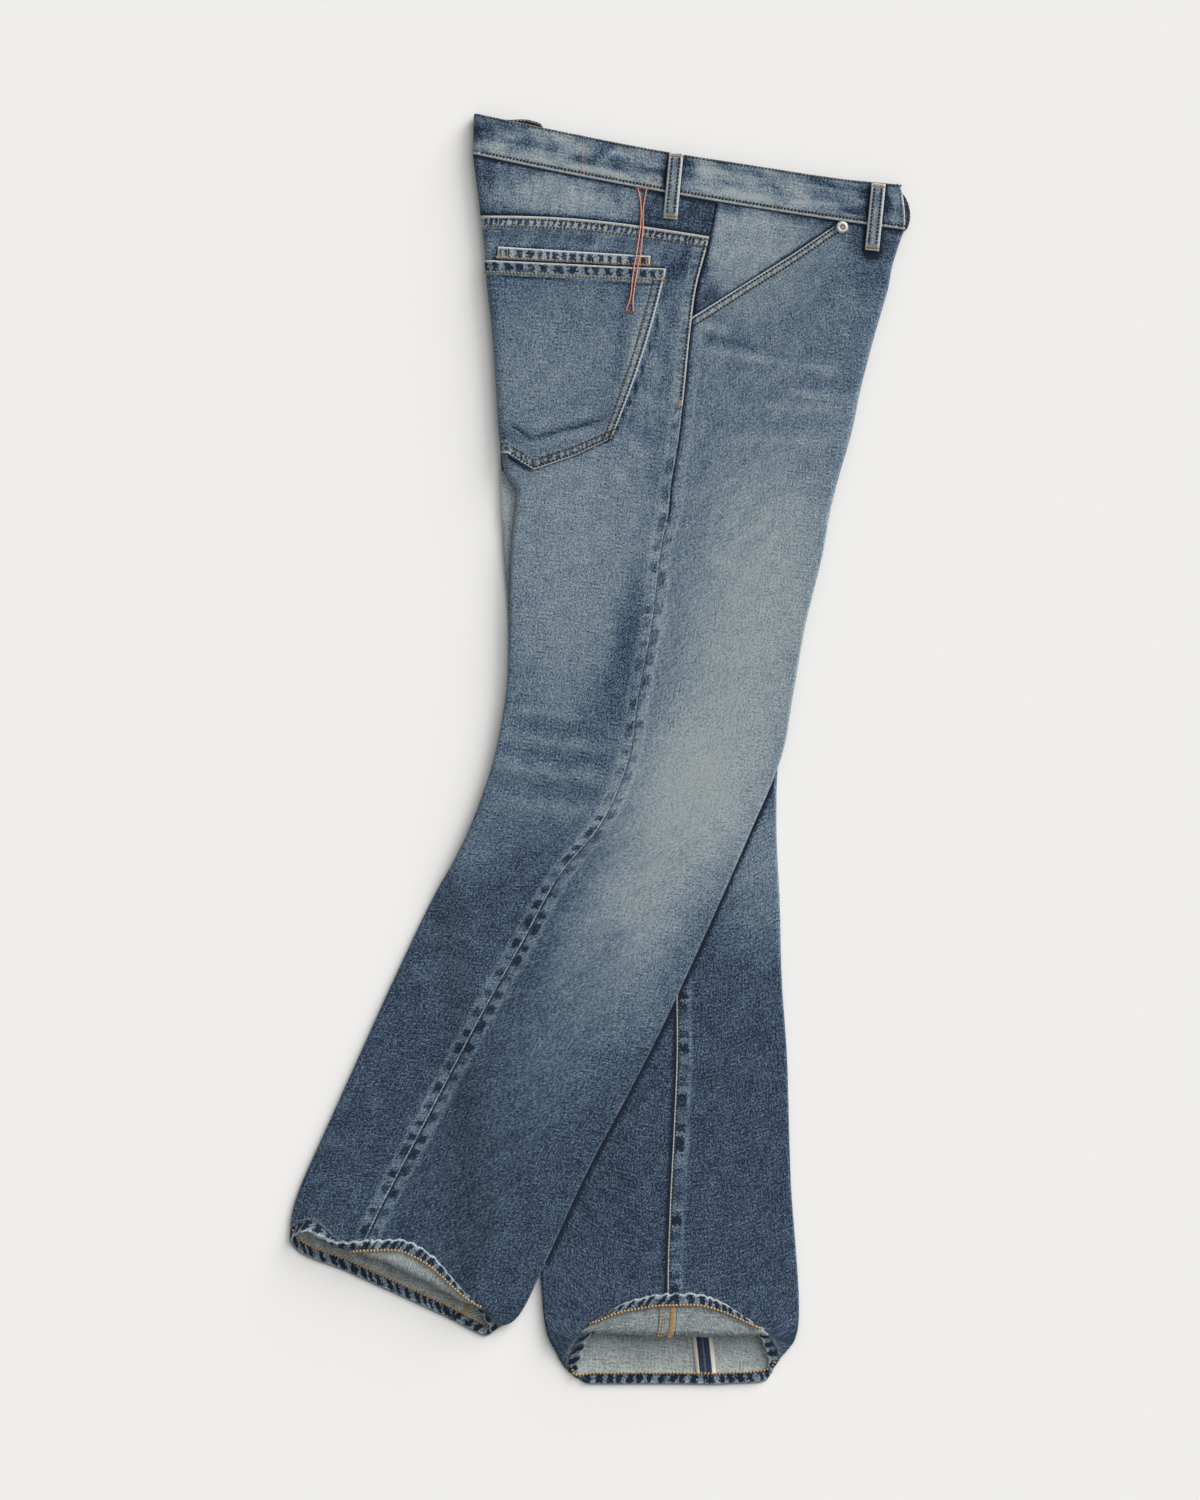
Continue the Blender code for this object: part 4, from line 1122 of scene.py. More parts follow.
def front_start(share):
    """How far below the waistband the right front begins, along the pocket's slanted opening."""
    if share >= SLANT_END:
        return 0.0
    part = share / SLANT_END
    return SLANT_DROP * (1 - part) + SLANT_BOW * sin(pi * part)


def level_start(share):
    return 0.0 * share


def yoke_edge(share):
    return -YOKE_BOW * sin(pi * share)


def closeness(distance):
    return np.clip(REACH - distance, 0, REACH)


def trough(edges, rows):
    """How deep each point lies in the trough of a row of stitches: rows are edges and offsets."""
    depth = np.zeros(edges["top"].shape)
    for edge, offset in rows:
        depth = np.maximum(depth, 1 - smoothstep(np.abs(edges[edge] - offset) / TROUGH_WIDTH))
    return depth


def strongest(bands):
    """One band mark from several, taking the strongest at each point."""
    made = bands[0].copy()
    for band in bands[1:]:
        better = band[..., 2] > made[..., 2]
        made[better] = band[better]
    return made


def pale_band(distance, width, tone):
    """The lighter tone of a doubled, sewn-down width of cloth."""
    return tone * (1 - smoothstep((distance / width - 0.85) / 0.3))


def band_mark(count, distance, width, strength=1.0):
    share = np.clip(distance / width, 0, 1.3)
    fade_out = 1 - smoothstep((share - 1.0) / 0.25)
    return np.stack([count + 0 * share, share, fade_out * strength], axis=-1)


def beside_loops(points):
    """How close each point lies to a belt loop that stands on the cloth."""
    away = [line_distance(points, (loop.top, loop.foot)) - loop.width / 2 for loop in LOOPS]
    return closeness(np.minimum(*away))


class Panel:
    """The grid of one panel, and the numbers that its marks and its relief are made from."""

    def __init__(self, pattern):
        self.half, self.side, self.seed = half, side, seed = pattern.half, pattern.side, pattern.seed
        closed_from = RISE_END if half.upper or side > 0 else FLAP_START
        self.points, self.there = panel_grid(*pattern[1:6], closed_from)
        self.edges = grid_distances(self.points)
        self.top, self.foot, self.beside, self.fell = self.edges.values()
        self.down = pattern.top + self.top[:, :1] + 0 * self.beside
        shape = self.points.shape[:2]
        column = np.arange(shape[1])
        self.outer = (column < len(SHARES)) * np.ones(shape)
        self.inner = (column >= len(SHARES) + len(FOLD_ANGLES)) * np.ones(shape)
        self.on_leg = smoothstep((self.down - RISE_END) / LEG_BLEND) * self.inner
        self.lapped = (1 - smoothstep((self.down - LAP_END) / LAP_BLEND)) * self.outer
        share = self.beside / np.maximum(self.beside[:, len(SHARES) - 1 : len(SHARES)], 1)
        self.slant = (share < SLANT_END + 0.01) * self.outer * (half.upper and side > 0)
        self.hem_count = uneven(self.beside, HEM_PITCH, seed + 1) + HEM_SLANT * self.foot / HEM_HEIGHT
        self.bands = [band_mark(self.hem_count, self.foot, HEM_HEIGHT)]
        self.rim, self.hollow = np.zeros(shape), np.zeros(shape)

    def inseam(self):
        """The front is felled over the back: roped blocks and a worn rim on one, painted shade beside the
        fell on the other.
        """
        if self.side < 0:
            self.hollow = closeness(self.fell) * (self.on_leg > 0.5)
            return
        patches = np.sin(2 * pi * uneven(self.down, PATCH_PITCH, self.seed + 7, PATCH_SPREAD))
        strength = (FELL_STRENGTH + FELL_PATCHES * patches) * self.on_leg
        blocks = uneven(self.down, FELL_PITCH, self.seed + 2, FELL_SPREAD)
        self.bands.append(band_mark(blocks, self.fell, FELL_WIDTH, strength))
        self.rim = closeness(self.fell) * (self.on_leg > 0.5) * (self.foot > HEM_HEIGHT)

    def lap(self, roping):
        blocks = uneven(self.down, LAP_PITCH, self.seed + 5)
        self.bands.append(band_mark(blocks, self.beside, SIDE_WIDTH, roping * self.lapped))

    def back_seams(self):
        """The yoke seam, and the side seam where the back laps over the front. Gives their paler tone."""
        yoke = uneven(self.beside, YOKE_PITCH, self.seed + 3)
        self.bands.append(band_mark(yoke, self.top, YOKE_BAND, YOKE_ROPING))
        self.lap(BACK_LAP_ROPING)
        lapped = closeness(RIDGE * self.beside + SEAM_GAP) * (self.lapped > 0.5)
        self.rim = np.maximum(self.rim, np.maximum(closeness(RIDGE * self.top), lapped))
        pale = pale_band(self.beside, SIDE_WIDTH, LAP_PALE) * self.lapped
        return pale_band(self.top, YOKE_BAND, YOKE_PALE) + pale

    def front_seams(self):
        """The pocket's slanted opening, and painted shade beside the back's lap and below the waistband.
        Gives their paler tone.
        """
        slant = uneven(self.beside, SLANT_PITCH, self.seed + 4)
        self.bands.append(band_mark(slant, self.top, SLANT_WIDTH, SLANT_ROPING * self.slant))
        self.lap(FRONT_LAP_ROPING)
        self.rim = np.maximum(self.rim, closeness(RIDGE * self.top) * self.slant)
        beside_lap = closeness(self.beside) * (self.lapped > 0.5)
        self.hollow = np.maximum.reduce([self.hollow, closeness(self.top) * (1 - self.slant), beside_lap])
        return pale_band(self.top, SLANT_WIDTH, SLANT_PALE) * self.slant

    def shadows(self):
        """Painted shade beside what lies on the panel: pocket, strip, belt loops or the other leg."""
        near = [self.hollow]
        if self.half.upper:
            near.append(beside_loops(self.points))
        else:
            over = RIGHT.front(np.linspace(OVERLAP_START, RIGHT.length, 40))
            near.append(closeness(line_distance(self.points, over) - 1.0) * self.inner)
        if self.half.upper and self.side < 0:
            for outline in (POCKET_OUTLINE, STRIP_OUTLINE):
                away = line_distance(self.points, [*outline, outline[0]])
                near.append(closeness(1.5 * away) * self.outer)
        self.hollow = np.maximum.reduce(near)

    def troughs(self):
        """How deep the rows of stitches pull the cloth in, from 0 to 1."""
        sunk = [trough(self.edges, HEM_ROWS)]
        if self.half.upper and self.side < 0:
            lap_row = trough(self.edges, SIDE_ROWS) * (self.lapped > 0.5)
            sunk += [trough(self.edges, YOKE_ROWS) * self.outer, lap_row]
        elif self.half.upper:
            sunk.append(trough(self.edges, SLANT_ROWS) * self.slant)
        elif self.side > 0:
            sunk.append(0.7 * trough(self.edges, INSEAM_ROWS) * self.on_leg)
        return np.maximum.reduce(sunk)

    def side_seam(self):
        """The mark of the side seam below the lap, and the low ridge of its two allowances."""
        count = uneven(self.down, SIDE_PITCH, SIDE_SEED)
        near = 1 - smoothstep((self.beside - SIDE_MARK_END) / SIDE_MARK_BLEND)
        below_knee = smoothstep((self.down - KNEE) / KNEE_BLEND)
        strength = (self.outer - self.lapped) * near * (ABOVE_KNEE + (1 - ABOVE_KNEE) * below_knee)
        allowance = smoothstep((SIDE_WIDTH - self.beside) / 3) * strength
        ridge = allowance * (0.3 + 0.2 * np.sin(2 * pi * count))
        groove = 0.5 * strength * np.exp(-((self.beside / 1.3) ** 2))
        return vector_mark(count, self.side * self.beside, strength, strength.shape), ridge - groove

    def roping(self, band, seen):
        """The height of the roped blocks: a laid-over seam in the field, and the waves of the hem."""
        blocks = band[..., 2] * np.sin(2 * pi * band[..., 0])
        hem = smoothstep((HEM_HEIGHT + 2 - self.foot) / 2)
        lap = (1 - hem) * smoothstep((1.1 - band[..., 1]) / 0.25) * (0.4 * band[..., 2] + 0.15 * blocks)
        return lap * seen + 0.3 * blocks * hem * np.clip(band[..., 1] * 3, 0, 1)


Pattern = namedtuple("Pattern", "name half side top start_of join fades creases seed")


def panel(pattern):
    """One panel as a sheet of cloth, with its seams, shadows, fades and creases."""
    half, side = pattern.half, pattern.side
    made = Panel(pattern)
    made.inseam()
    pale = made.back_seams() if side < 0 else made.front_seams()
    made.shadows()
    points, foot, level = made.points, made.foot, made.points[..., 2]
    sunk = made.troughs()
    band = strongest(made.bands)
    side_mark, seam_relief = made.side_seam()
    seen = made.outer if half.upper else made.inner
    height, crease_tone = creased(points, pattern.creases)
    relief = height * seen + seam_relief + made.roping(band, seen) - TROUGH_DEPTH * sunk

    hem_wave = np.sin(2 * pi * made.hem_count)
    wave = SCALLOP * hem_wave * smoothstep((7 - foot) / 7) * (level > LIP_START)
    # Painted light and wear: the sides of the folded edges are made paler, partly as rubbed cloth, partly to
    # lift their shade.
    upright = 1 - np.abs(normals_of(points, False)[..., 2])
    worn = EDGE_WEAR_AND_PAINTED_LIGHT * upright * smoothstep((foot - 40) / 40)
    pale = pale + HEM_PALE * (1 - smoothstep((foot + 0.8 * hem_wave - 1.0) / 3.2))
    mottle = FRONT_MOTTLE if side > 0 else BACK_MOTTLE
    raised = smoothstep((level - LIP_START) / LIP_RISE)
    hem = foot <= HEM_HEIGHT + 0.1
    moved = points + unit(np.gradient(points, axis=0)) * wave[..., None]
    marks = {
        "fade": faded(moved, pattern.fades) + crease_tone * seen + worn + pale,
        "rim": made.rim,
        "hollow": made.hollow,
        "trough": sunk,
        "mottle": mottle * (1 - smoothstep((made.down - HIP_MOTTLE) / MOTTLE_BLEND)),
        # the left hem's reverse holds painted light on the surface and painted shade in the raised lip
        "lining": LINING_RIGHT if half.upper else LINING_PAINTED_LIGHT + (LINING_PAINTED_SHADE - LINING_PAINTED_LIGHT) * raised,
        "band": band,
        "side": side_mark,
    }
    cloth(
        pattern.name, moved, HEM_WALL, marks, made.there, flip=(side > 0) != half.upper, roll=("foot",),
        relief=relief * (level >= ON_TABLE), thick=np.where(hem, 1.0, CLOTH / HEM_WALL), hem_rows=hem,
        edges=made.edges,
    )  # fmt: skip


PATTERNS = (
    Pattern("right_front_cloth", RIGHT, 1, SEAM_GAP, front_start, SLANT_JOIN, RIGHT_FADES, RIGHT_CREASES, 10),
    Pattern("right_back_cloth", RIGHT, -1, YOKE_DEPTH, yoke_edge, YOKE_JOIN, RIGHT_FADES, RIGHT_CREASES, 20),
    Pattern("left_front_cloth", LEFT, 1, SEAM_GAP, level_start, 1.0, LEFT_FADES, LEFT_CREASES, 30),
    Pattern("left_back_cloth", LEFT, -1, YOKE_DEPTH, yoke_edge, YOKE_JOIN, LEFT_FADES, LEFT_CREASES, 40),
)
for pattern in PATTERNS:
    panel(pattern)

# %% [markdown]
# ## Yokes, waistband and pocket
# The yokes and the slanted pocket's facing are plain sheets in the same surface as the panels. The
# waistband is one strip that goes round the back fold and ends twice at the front. The patch pocket
# and the strip above it are placed on the back by their corners and lie on the panel's own points.

# %% Yokes and facing
YOKE_FADES = rows_of(Fade, (
    (-30, 528, 90, 34, -10, 0.8, 0.95),
    (-108, 549, 17, 16, 0, 0.16, 0.9),
    (-114, 520, 12, 24, 0, 0.34, 0.8),
    (-66, 548, 34, 5, -12, 0.42, 0.7),
    (6, 530, 24, 6, -10, 0.36, 0.8),
    (20, 518, 18, 12, 0, 0.5, 0.7),
    (55, 515, 20, 20, 0, 0.18, 0.9),
    (95, 508, 24, 22, 0, 0.1, 0.9),
))
FACING_FADES_AND_SEAM_SHADE = rows_of(Fade, (
    (140, 480, 90, 60, 0, 0.77, 1),
    (104, 433, 9, 13, 0, 0.1, 0.85),
    (196, 504, 38, 5, -10, 0.22, 0.8),
    (222, 498, 15, 8, -35, 0.14, 0.8),
    (124, 514, 14, 5, -8, 0.12, 0.8),
    # The next row is painted shade in the gap of the side seam.
    (97, 474, 7, 42, 0, 0.05, 0.9),
    (112, 408, 18, 12, 30, 0.3, 0.8),
))


def yoke(name, half):
    rows = SEAM_GAP + spread(YOKE_DEPTH - 2 * SEAM_GAP, True, True, 2.5) * (YOKE_DEPTH - 2 * SEAM_GAP)
    columns = [Column("outer", share) for share in SHARES]
    columns += [Column("fold", angle) for angle in FOLD_ANGLES if angle >= 0]
    lines = []
    for column in columns:
        bow = yoke_edge(column.share) if column.kind == "outer" else 0.0
        lines.append(column.points(half, -1, rows + bow * rows / YOKE_DEPTH, 0.0))
    points = np.stack(lines, axis=1)
    edges = grid_distances(points)
    # Painted shade along the yoke's top, under the waistband, and along its foot.
    hollow = closeness(np.minimum(edges["top"], edges["foot"]))
    marks = {"fade": faded(points, YOKE_FADES), "hollow": hollow, "mottle": 0.5}
    cloth(name, points, CLOTH, marks, flip=half.upper)


def pocket_facing(half):
    lines = []
    shares = np.append(np.linspace(0, SLANT_END, 30), SLANT_END + FACING_PAST_END)
    for share in shares:
        opening = front_start(share)
        down = np.linspace(SEAM_GAP, opening + FACING_UNDERLAP, 44)
        column = Column("outer", share)
        line = half.outer(down, column.across(half, 1, down, 3 * SEAM_GAP))
        line[:, 2] -= (CLOTH + SEAM_GAP) * np.clip(1 - (opening - down) / FACING_SINK, 0, 1)
        lines.append(line)
    points = np.stack(lines, axis=1)
    edges = grid_distances(points)
    under = np.clip(edges["foot"] - FACING_UNDERLAP, 0, None)
    # Painted shade along the facing's top, past the pocket opening and beside the side seam.
    hollow = closeness(np.minimum(np.minimum(1.8 * edges["top"], 1.3 * under), edges["first"]))
    marks = {"fade": faded(points, FACING_FADES_AND_SEAM_SHADE), "hollow": hollow, "mottle": 0.3}
    cloth("pocket_facing_cloth", points, CLOTH, marks)


yoke("right_yoke_cloth", RIGHT)
yoke("left_yoke_cloth", LEFT)
pocket_facing(RIGHT)

# %% [markdown]
# ## The waistband
# The waistband is cut double over an interlining, so it is the thickest strip. Its near side shows
# whole. Its far side shows as a dark sliver above the near edge at the back, and as a short tab past
# the near end at the front.

# %% Waistband
Band = namedtuple("Band", "across lean height")
BAND_FORM = (
    Band(-1.0, 1.0, 39.0),
    Band(-0.6, 4.0, 38.5),
    Band(-0.2, 5.0, 38.0),
    Band(0.3, 4.0, 39.5),
    Band(0.7, 2.0, 40.0),
    Band(1.0, -4.0, 43.0),
)

# The far side's upper edge: where it is across, and how far it stands above the near side's.
FAR_SIDE = (
    (-0.885, 0.3), (-0.835, 2.2), (-0.788, 4.8), (-0.756, 5.9), (-0.723, 5.6), (-0.698, 4.4), (-0.687, 0.5),
    (-0.66, -3.0), (-0.4, -3.0), (0.0, -3.5), (0.4, -4.0), (0.75, -4.5), (1.0, -6.0),
)  # fmt: skip
FAR_ACROSS, FAR_RISE = zip(*FAR_SIDE)
FAR_COLUMNS, FOLD_COLUMNS = 90, 13
NEAR_BULGE, FAR_BULGE = 2.0, 8.0
BAND_LENGTH, BAND_HEIGHT = 405.0, 38.0
FAR_TONE = 0.02
PUCKER_HEIGHT, PUCKER_PITCH, PUCKER_SEED = 0.25, 7.0, 81
BAND_CREASES = rows_of(Crease, (
    (-14, 572, 22, 558, 5, 0.6, 0),
    (0, 580, 28, 566, 4.5, -0.6, 0),
    (22, 562, 52, 548, 5, 0.6, 0),
    (96, 560, 180, 547, 5, 0.4, 0),
    (-90, 584, -40, 577, 6, 0.4, 0),
))
BAND_FADES_AND_LOOP_SHADE = rows_of(Fade, (
    (90, 550, 300, 60, -9, 0.63, 1),
    (-107, 589, 15, 11, -8, 0.2, 0.95),
    (-106, 572, 20, 4.5, -6, 0.84, 0.8),
    (-76, 577, 24, 3.5, -8, 0.4, 0.7),
    (-36, 579, 20, 7, -10, 0.78, 0.7),
    (-72, 565, 36, 7, -12, 0.95, 0.9),
    (-54, 584, 20, 5, -12, 0.74, 0.7),
    (-2, 549, 44, 5.5, -12, 0.9, 0.9),
    (-46, 570, 13, 3.5, -14, 0.3, 0.8),
    (-25, 571, 11, 5.5, -10, 0.92, 0.85),
    (-15, 561, 12, 4.5, -10, 0.18, 0.85),
    (9, 574, 18, 5, -8, 0.12, 0.95),
    (-4, 563, 11, 6, 42, 0.12, 0.95),
    (14, 558, 14, 6, -20, 0.16, 0.9),
    (32, 560, 14, 5, -10, 0.5, 0.7),
    (48, 549, 18, 4, -8, 0.16, 0.9),
    (14, 568, 22, 2.4, 36, 0.74, 0.75),
    (49, 562, 8, 6, 0, 0.72, 0.7),
    (34, 543, 18, 3.5, -8, 0.84, 0.8),
    # The next two rows are painted shade on both sides of the side belt loop.
    (62, 548, 5, 22, 0, 0.08, 0.85),
    (84, 548, 7, 26, 0, 0.1, 0.85),
    (104, 550, 12, 7, -8, 0.84, 0.8),
    (115, 556, 9, 4, -8, 0.22, 0.7),
    (138, 544, 24, 6, -9, 0.84, 0.75),
    (108, 531, 40, 6.5, -9, 0.98, 0.85),
    (140, 526, 30, 6, -9, 0.94, 0.85),
    (190, 519, 32, 6.5, -9, 0.9, 0.85),
    (208, 539, 46, 4, -9, 0.28, 0.8),
    (228, 521, 12, 12, 0, 0.36, 0.6),
    (243, 511, 15, 4.5, -9, 0.12, 0.85),
    # The next two rows are painted shade on both sides of the front belt loop.
    (251, 521, 7, 24, 0, 0.06, 0.9),
    (273, 520, 6, 24, 0, 0.1, 0.9),
    (284, 518, 5, 20, 0, 0.36, 0.7),
))


def waistband():
    form = curve_through([b.across for b in BAND_FORM], [b[1:] for b in BAND_FORM])
    start = np.array(0.0)
    radius = BAND_TOP / 2
    tangent = 1 - radius / length_of(RIGHT.frame(start)[1])
    heights = spread(BAND_HEIGHT, True, True, 2.5)

    def column(across, level, rise, bulge=0.0):
        foot = RIGHT.flat(start, across)
        lean, height = form(across)
        line = []
        for part in heights:
            x = foot[0] + lean * part + bulge * max(0.0, sin(pi * part)) ** 0.5
            line.append((x, foot[1] + (height + rise) * part, level))
        return line

    near = 1 - spread(BAND_LENGTH, True, False, 4.0) * (1 + tangent)
    lines = [column(across, BAND_TOP, 0.0, NEAR_BULGE * (across == 1.0)) for across in near]
    for angle in np.linspace(90, -90, FOLD_COLUMNS)[1:-1]:
        across = -(tangent + (1 - tangent) * cos(radians(angle)))
        lines.append(column(across, radius + radius * sin(radians(angle)), 0.0))
    far = np.unique([*np.linspace(FAR_ACROSS[0], 1.0, FAR_COLUMNS), *FAR_ACROSS])
    for across in (-tangent, *far[far > -tangent]):
        rise = np.interp(across, FAR_ACROSS, FAR_RISE) if across > FAR_ACROSS[0] else 0.0
        lines.append(column(across, 0.0, rise, FAR_BULGE * (across == 1.0)))
    points = np.array(lines)
    edges = grid_distances(points)
    near_side = points[..., 2] > radius
    pale = pale_band(edges["first"], 7.0, 0.10) * near_side
    sunk = trough(edges, BAND_ROWS)
    marks = {
        "fade": np.where(near_side, faded(points, BAND_FADES_AND_LOOP_SHADE), FAR_TONE) + pale,
        "rim": closeness(np.minimum(RIDGE * edges["first"], edges["top"] + 0.6)) * near_side,
        # painted shade beside the belt loops
        "hollow": beside_loops(points),
        "mottle": np.where(near_side, 0.9, 0.2),
        "trough": sunk,
    }
    puckers = np.sin(2 * pi * uneven(edges["top"], PUCKER_PITCH, PUCKER_SEED))
    puckers = PUCKER_HEIGHT * puckers * smoothstep((9 - edges["first"]) / 6)
    relief = puckers + creased(points, BAND_CREASES)[0] * near_side - TROUGH_DEPTH * sunk
    roll = ("top", "foot", "first", "last")
    cloth("waistband_cloth", points, BAND_WALL, marks, flip=True, relief=relief, roll=roll, surfaces=PLAIN)


waistband()

# %% [markdown]
# ## Pocket, strip and belt loops
# What lies on a panel is made from the panel's points, moved out. The pocket's back edge goes round
# the folded edge of the leg, as the real pocket does.

# %% Pocket and strip
POCKET_FADES = rows_of(Fade, (
    (-25, 370, 120, 110, 0, 0.48, 1),
    (-70, 350, 50, 60, 0, 0.56, 0.7),
    (-40, 296, 60, 8, 14, 0.56, 0.6),
    (10, 318, 20, 14, 20, 0.36, 0.7),
    (38, 400, 60, 8, 80, 0.58, 0.6),
))
POCKET_CREASES = rows_of(Crease, (
    (-84, 309, -66, 296, 1.9, -0.5, -0.36),
    (-67, 295, 4, 314, 1.9, -0.5, -0.4),
    (-72, 303, -4, 322, 4, 0.5, 0.1),
    (-60, 288, -4, 303, 3, 0.4, 0.14),
    (28, 440, 14, 350, 5, -0.3, -0.12),
    (40, 430, 24, 350, 4, 0.3, 0.1),
))
POCKET_WIDTH, POCKET_DEPTH = 168.0, 190.0
POCKET_CORNERS = (0.0, 0.18, 0.56, 1.0)  # where along the foot its corners stand
POCKET_FOLDS = tuple(radians(angle) for angle in (18, 28, 40, 52, 70))
POCKET_BAND, BAND_PITCH, FOOT_PITCH, EDGE_PITCH = 11.0, 10.0, 6.5, 7.5
STRIP_LENGTH, STRIP_WIDTH, STRIP_PITCH = 146.0, 11.0, 9.5


def laid_on(places, lift, folds=()):
    """Points on the right half, moved out. With folds the back edge goes round the folded edge."""
    down, across = RIGHT.locate(places)
    if folds:
        tangent = RIGHT.tangent(down[:, :1])
        share = (across - across[:, :1]) / (across[:, -1:] - across[:, :1])
        across = share * (across[:, -1:] + tangent) - tangent
        tangent = tangent[:, 0]
        beyond = [-(tangent + (1 - tangent) * cos(angle)) for angle in folds]
        down = np.concatenate([down[:, :1]] * len(folds) + [down], axis=1)
        across = np.concatenate([np.stack(beyond, axis=1), across], axis=1)
    return RIGHT.above(down, across, lift)


def back_pocket():
    columns = spread(POCKET_WIDTH, False, True, 2.6)
    rows = spread(POCKET_DEPTH, True, True, 2.2)
    top, foot = on_line(columns, POCKET_TOP), on_line(columns, POCKET_FOOT, POCKET_CORNERS)
    places = []
    for part in rows:
        row = top + (foot - top) * part
        row[:, 0] += POCKET_SIDE_BULGE * sin(pi * part) * columns
        places.append(row)
    points = laid_on(np.array(places), SEAM_GAP + CLOTH, POCKET_FOLDS)
    edges = grid_distances(points)
    top, foot, beside, last = edges["top"], edges["foot"], edges["first"], edges["last"]
    sunk = trough(edges, POCKET_ROWS[1:]) * (top > POCKET_BAND) + trough(edges, POCKET_ROWS[:1])
    band = strongest([
        band_mark(uneven(beside, BAND_PITCH, 61), top, POCKET_BAND, 0.9),
        band_mark(uneven(beside, FOOT_PITCH, 62), foot, SIDE_WIDTH, 0.75),
        band_mark(uneven(top, EDGE_PITCH, 63), last, SIDE_WIDTH, 0.5),
    ])  # fmt: skip
    height, crease_tone = creased(points, POCKET_CREASES)
    blocks = 0.25 * np.sin(2 * pi * band[..., 0]) * band[..., 2] * np.clip(band[..., 1] * 3, 0, 1)
    # Painted light and wear: the pocket's folded sides are made paler, partly as rubbed cloth, partly to lift
    # their shade.
    worn = EDGE_WEAR_AND_PAINTED_LIGHT * (1 - np.abs(normals_of(points, False)[..., 2]))
    below_band = pale_band(np.abs(top - POCKET_BAND - 1.6), 1.6, 0.25)
    pale = np.maximum.reduce([pale_band(last, 10.0, 0.16), pale_band(foot, 10.0, 0.16), below_band])
    marks = {
        "fade": faded(points, POCKET_FADES) + crease_tone + worn + pale,
        "rim": closeness(RIDGE * np.minimum.reduce([1.4 * top, foot, last])),
        "band": band,
        # a painted shadow line under the pocket's band
        "hollow": closeness(2.2 * np.abs(top - POCKET_BAND - 4.4)) * (last > 4),
        "trough": sunk,
    }
    relief = blocks + height - 0.7 * TROUGH_DEPTH * sunk
    roll = ("top", "foot", "last")
    cloth("back_pocket_cloth", points, CLOTH, marks, roll=roll, relief=relief, surfaces=PLAIN)


def pocket_strip():
    columns = spread(STRIP_LENGTH, True, True, 3.0)
    top, foot = on_line(columns, STRIP_TOP), on_line(columns, STRIP_FOOT)
    places = np.array([top + (foot - top) * part for part in spread(STRIP_WIDTH, False, False, 0.9)])
    points = laid_on(places, SEAM_GAP + STRIP_WALL)
    edges = grid_distances(points)
    band = band_mark(uneven(edges["first"], STRIP_PITCH, 71), edges["top"], STRIP_WIDTH + 0.5, 1.0)
    relief = 0.2 * np.sin(2 * pi * band[..., 0]) * np.clip(edges["top"] / 3, 0, 1)
    rim = closeness(np.minimum.reduce([edges["top"], edges["first"], edges["last"]]))
    marks = {"fade": 0.55, "rim": rim, "band": band}
    roll = ("top", "first", "last", "foot")
    cloth("pocket_strip_cloth", points, STRIP_WALL, marks, roll=roll, relief=relief, surfaces=PLAIN)


back_pocket()
pocket_strip()

# %% [markdown]
# ## Belt loops
# A belt loop is a folded strip, sewn down at both ends with a bartack. Between them it stands a little
# off the waistband, so it is a sheet along a shallow arch.

# %% Belt loops
LOOP_PROFILE = ((0.0, 0.3), (0.08, 1.6), (0.3, 2.3), (0.6, 2.2), (0.85, 0.9), (1.0, -0.6))
LOOP_LENGTH = 63.0


def belt_loop(loop):
    top, foot = np.array(loop.top, float), np.array(loop.foot, float)
    aside = unit(foot - top)[::-1] * np.array([-1, 1]) * loop.width / 2
    lift_at = curve_through(*zip(*LOOP_PROFILE))
    rows = []
    for part in spread(LOOP_LENGTH, True, True, 2.0):
        middle = top + (foot - top) * part
        level = BAND_TOP + float(lift_at(part)) + LOOP_WALL
        rows.append([(*(middle - aside * (2 * s - 1)), level) for s in spread(loop.width, False, False, 0.9)])
    points = np.array(rows)
    edges = grid_distances(points)
    sides = RIDGE * np.minimum(edges["first"], edges["last"])
    rim = closeness(np.minimum.reduce([sides, edges["top"], edges["foot"]]))
    marks = {"fade": 0.62, "rim": rim, "trough": trough(edges, LOOP_ROWS), "mottle": 0.6}
    roll = ("first", "last", "top", "foot")
    cloth(loop.name, points, LOOP_WALL, marks, flip=True, roll=roll, surfaces=PLAIN)


for loop in LOOPS:
    belt_loop(loop)

# %% [markdown]
# ## Inside the hems
# The open hems show how the legs were made. The left side seam was cut on the selvedge, the woven edge
# of narrow denim, so its two allowances lie open with a cream line at each edge. The inseams were
# felled and overcast in gold. All are thin strips on the inner side, along the seam of two panels.

# %% Selvedge and felled inseams
STRIP_ROWS = 26
INNER_WALL, INNER_GAP = 0.5, 0.2
BAND_BLUR = 0.3
SELVEDGE_HALF, SELVEDGE_SHIFT, SELVEDGE_LEAN = 9.6, -4.6, 5.0
SELVEDGE_OFFSETS = (-9.6, -6.0, -4.0, -0.7, 0.7, 4.0, 6.0, 9.6)
LEFT_FELL_SHIFT, RIGHT_FELL_SHIFT = -7.0, 5.0
FELL_OFFSETS = (-9.0, -8.4, -6.4, -4.4, -1.6, -0.7, 0.7, 2.0, 4.0, 6.4, 6.9)


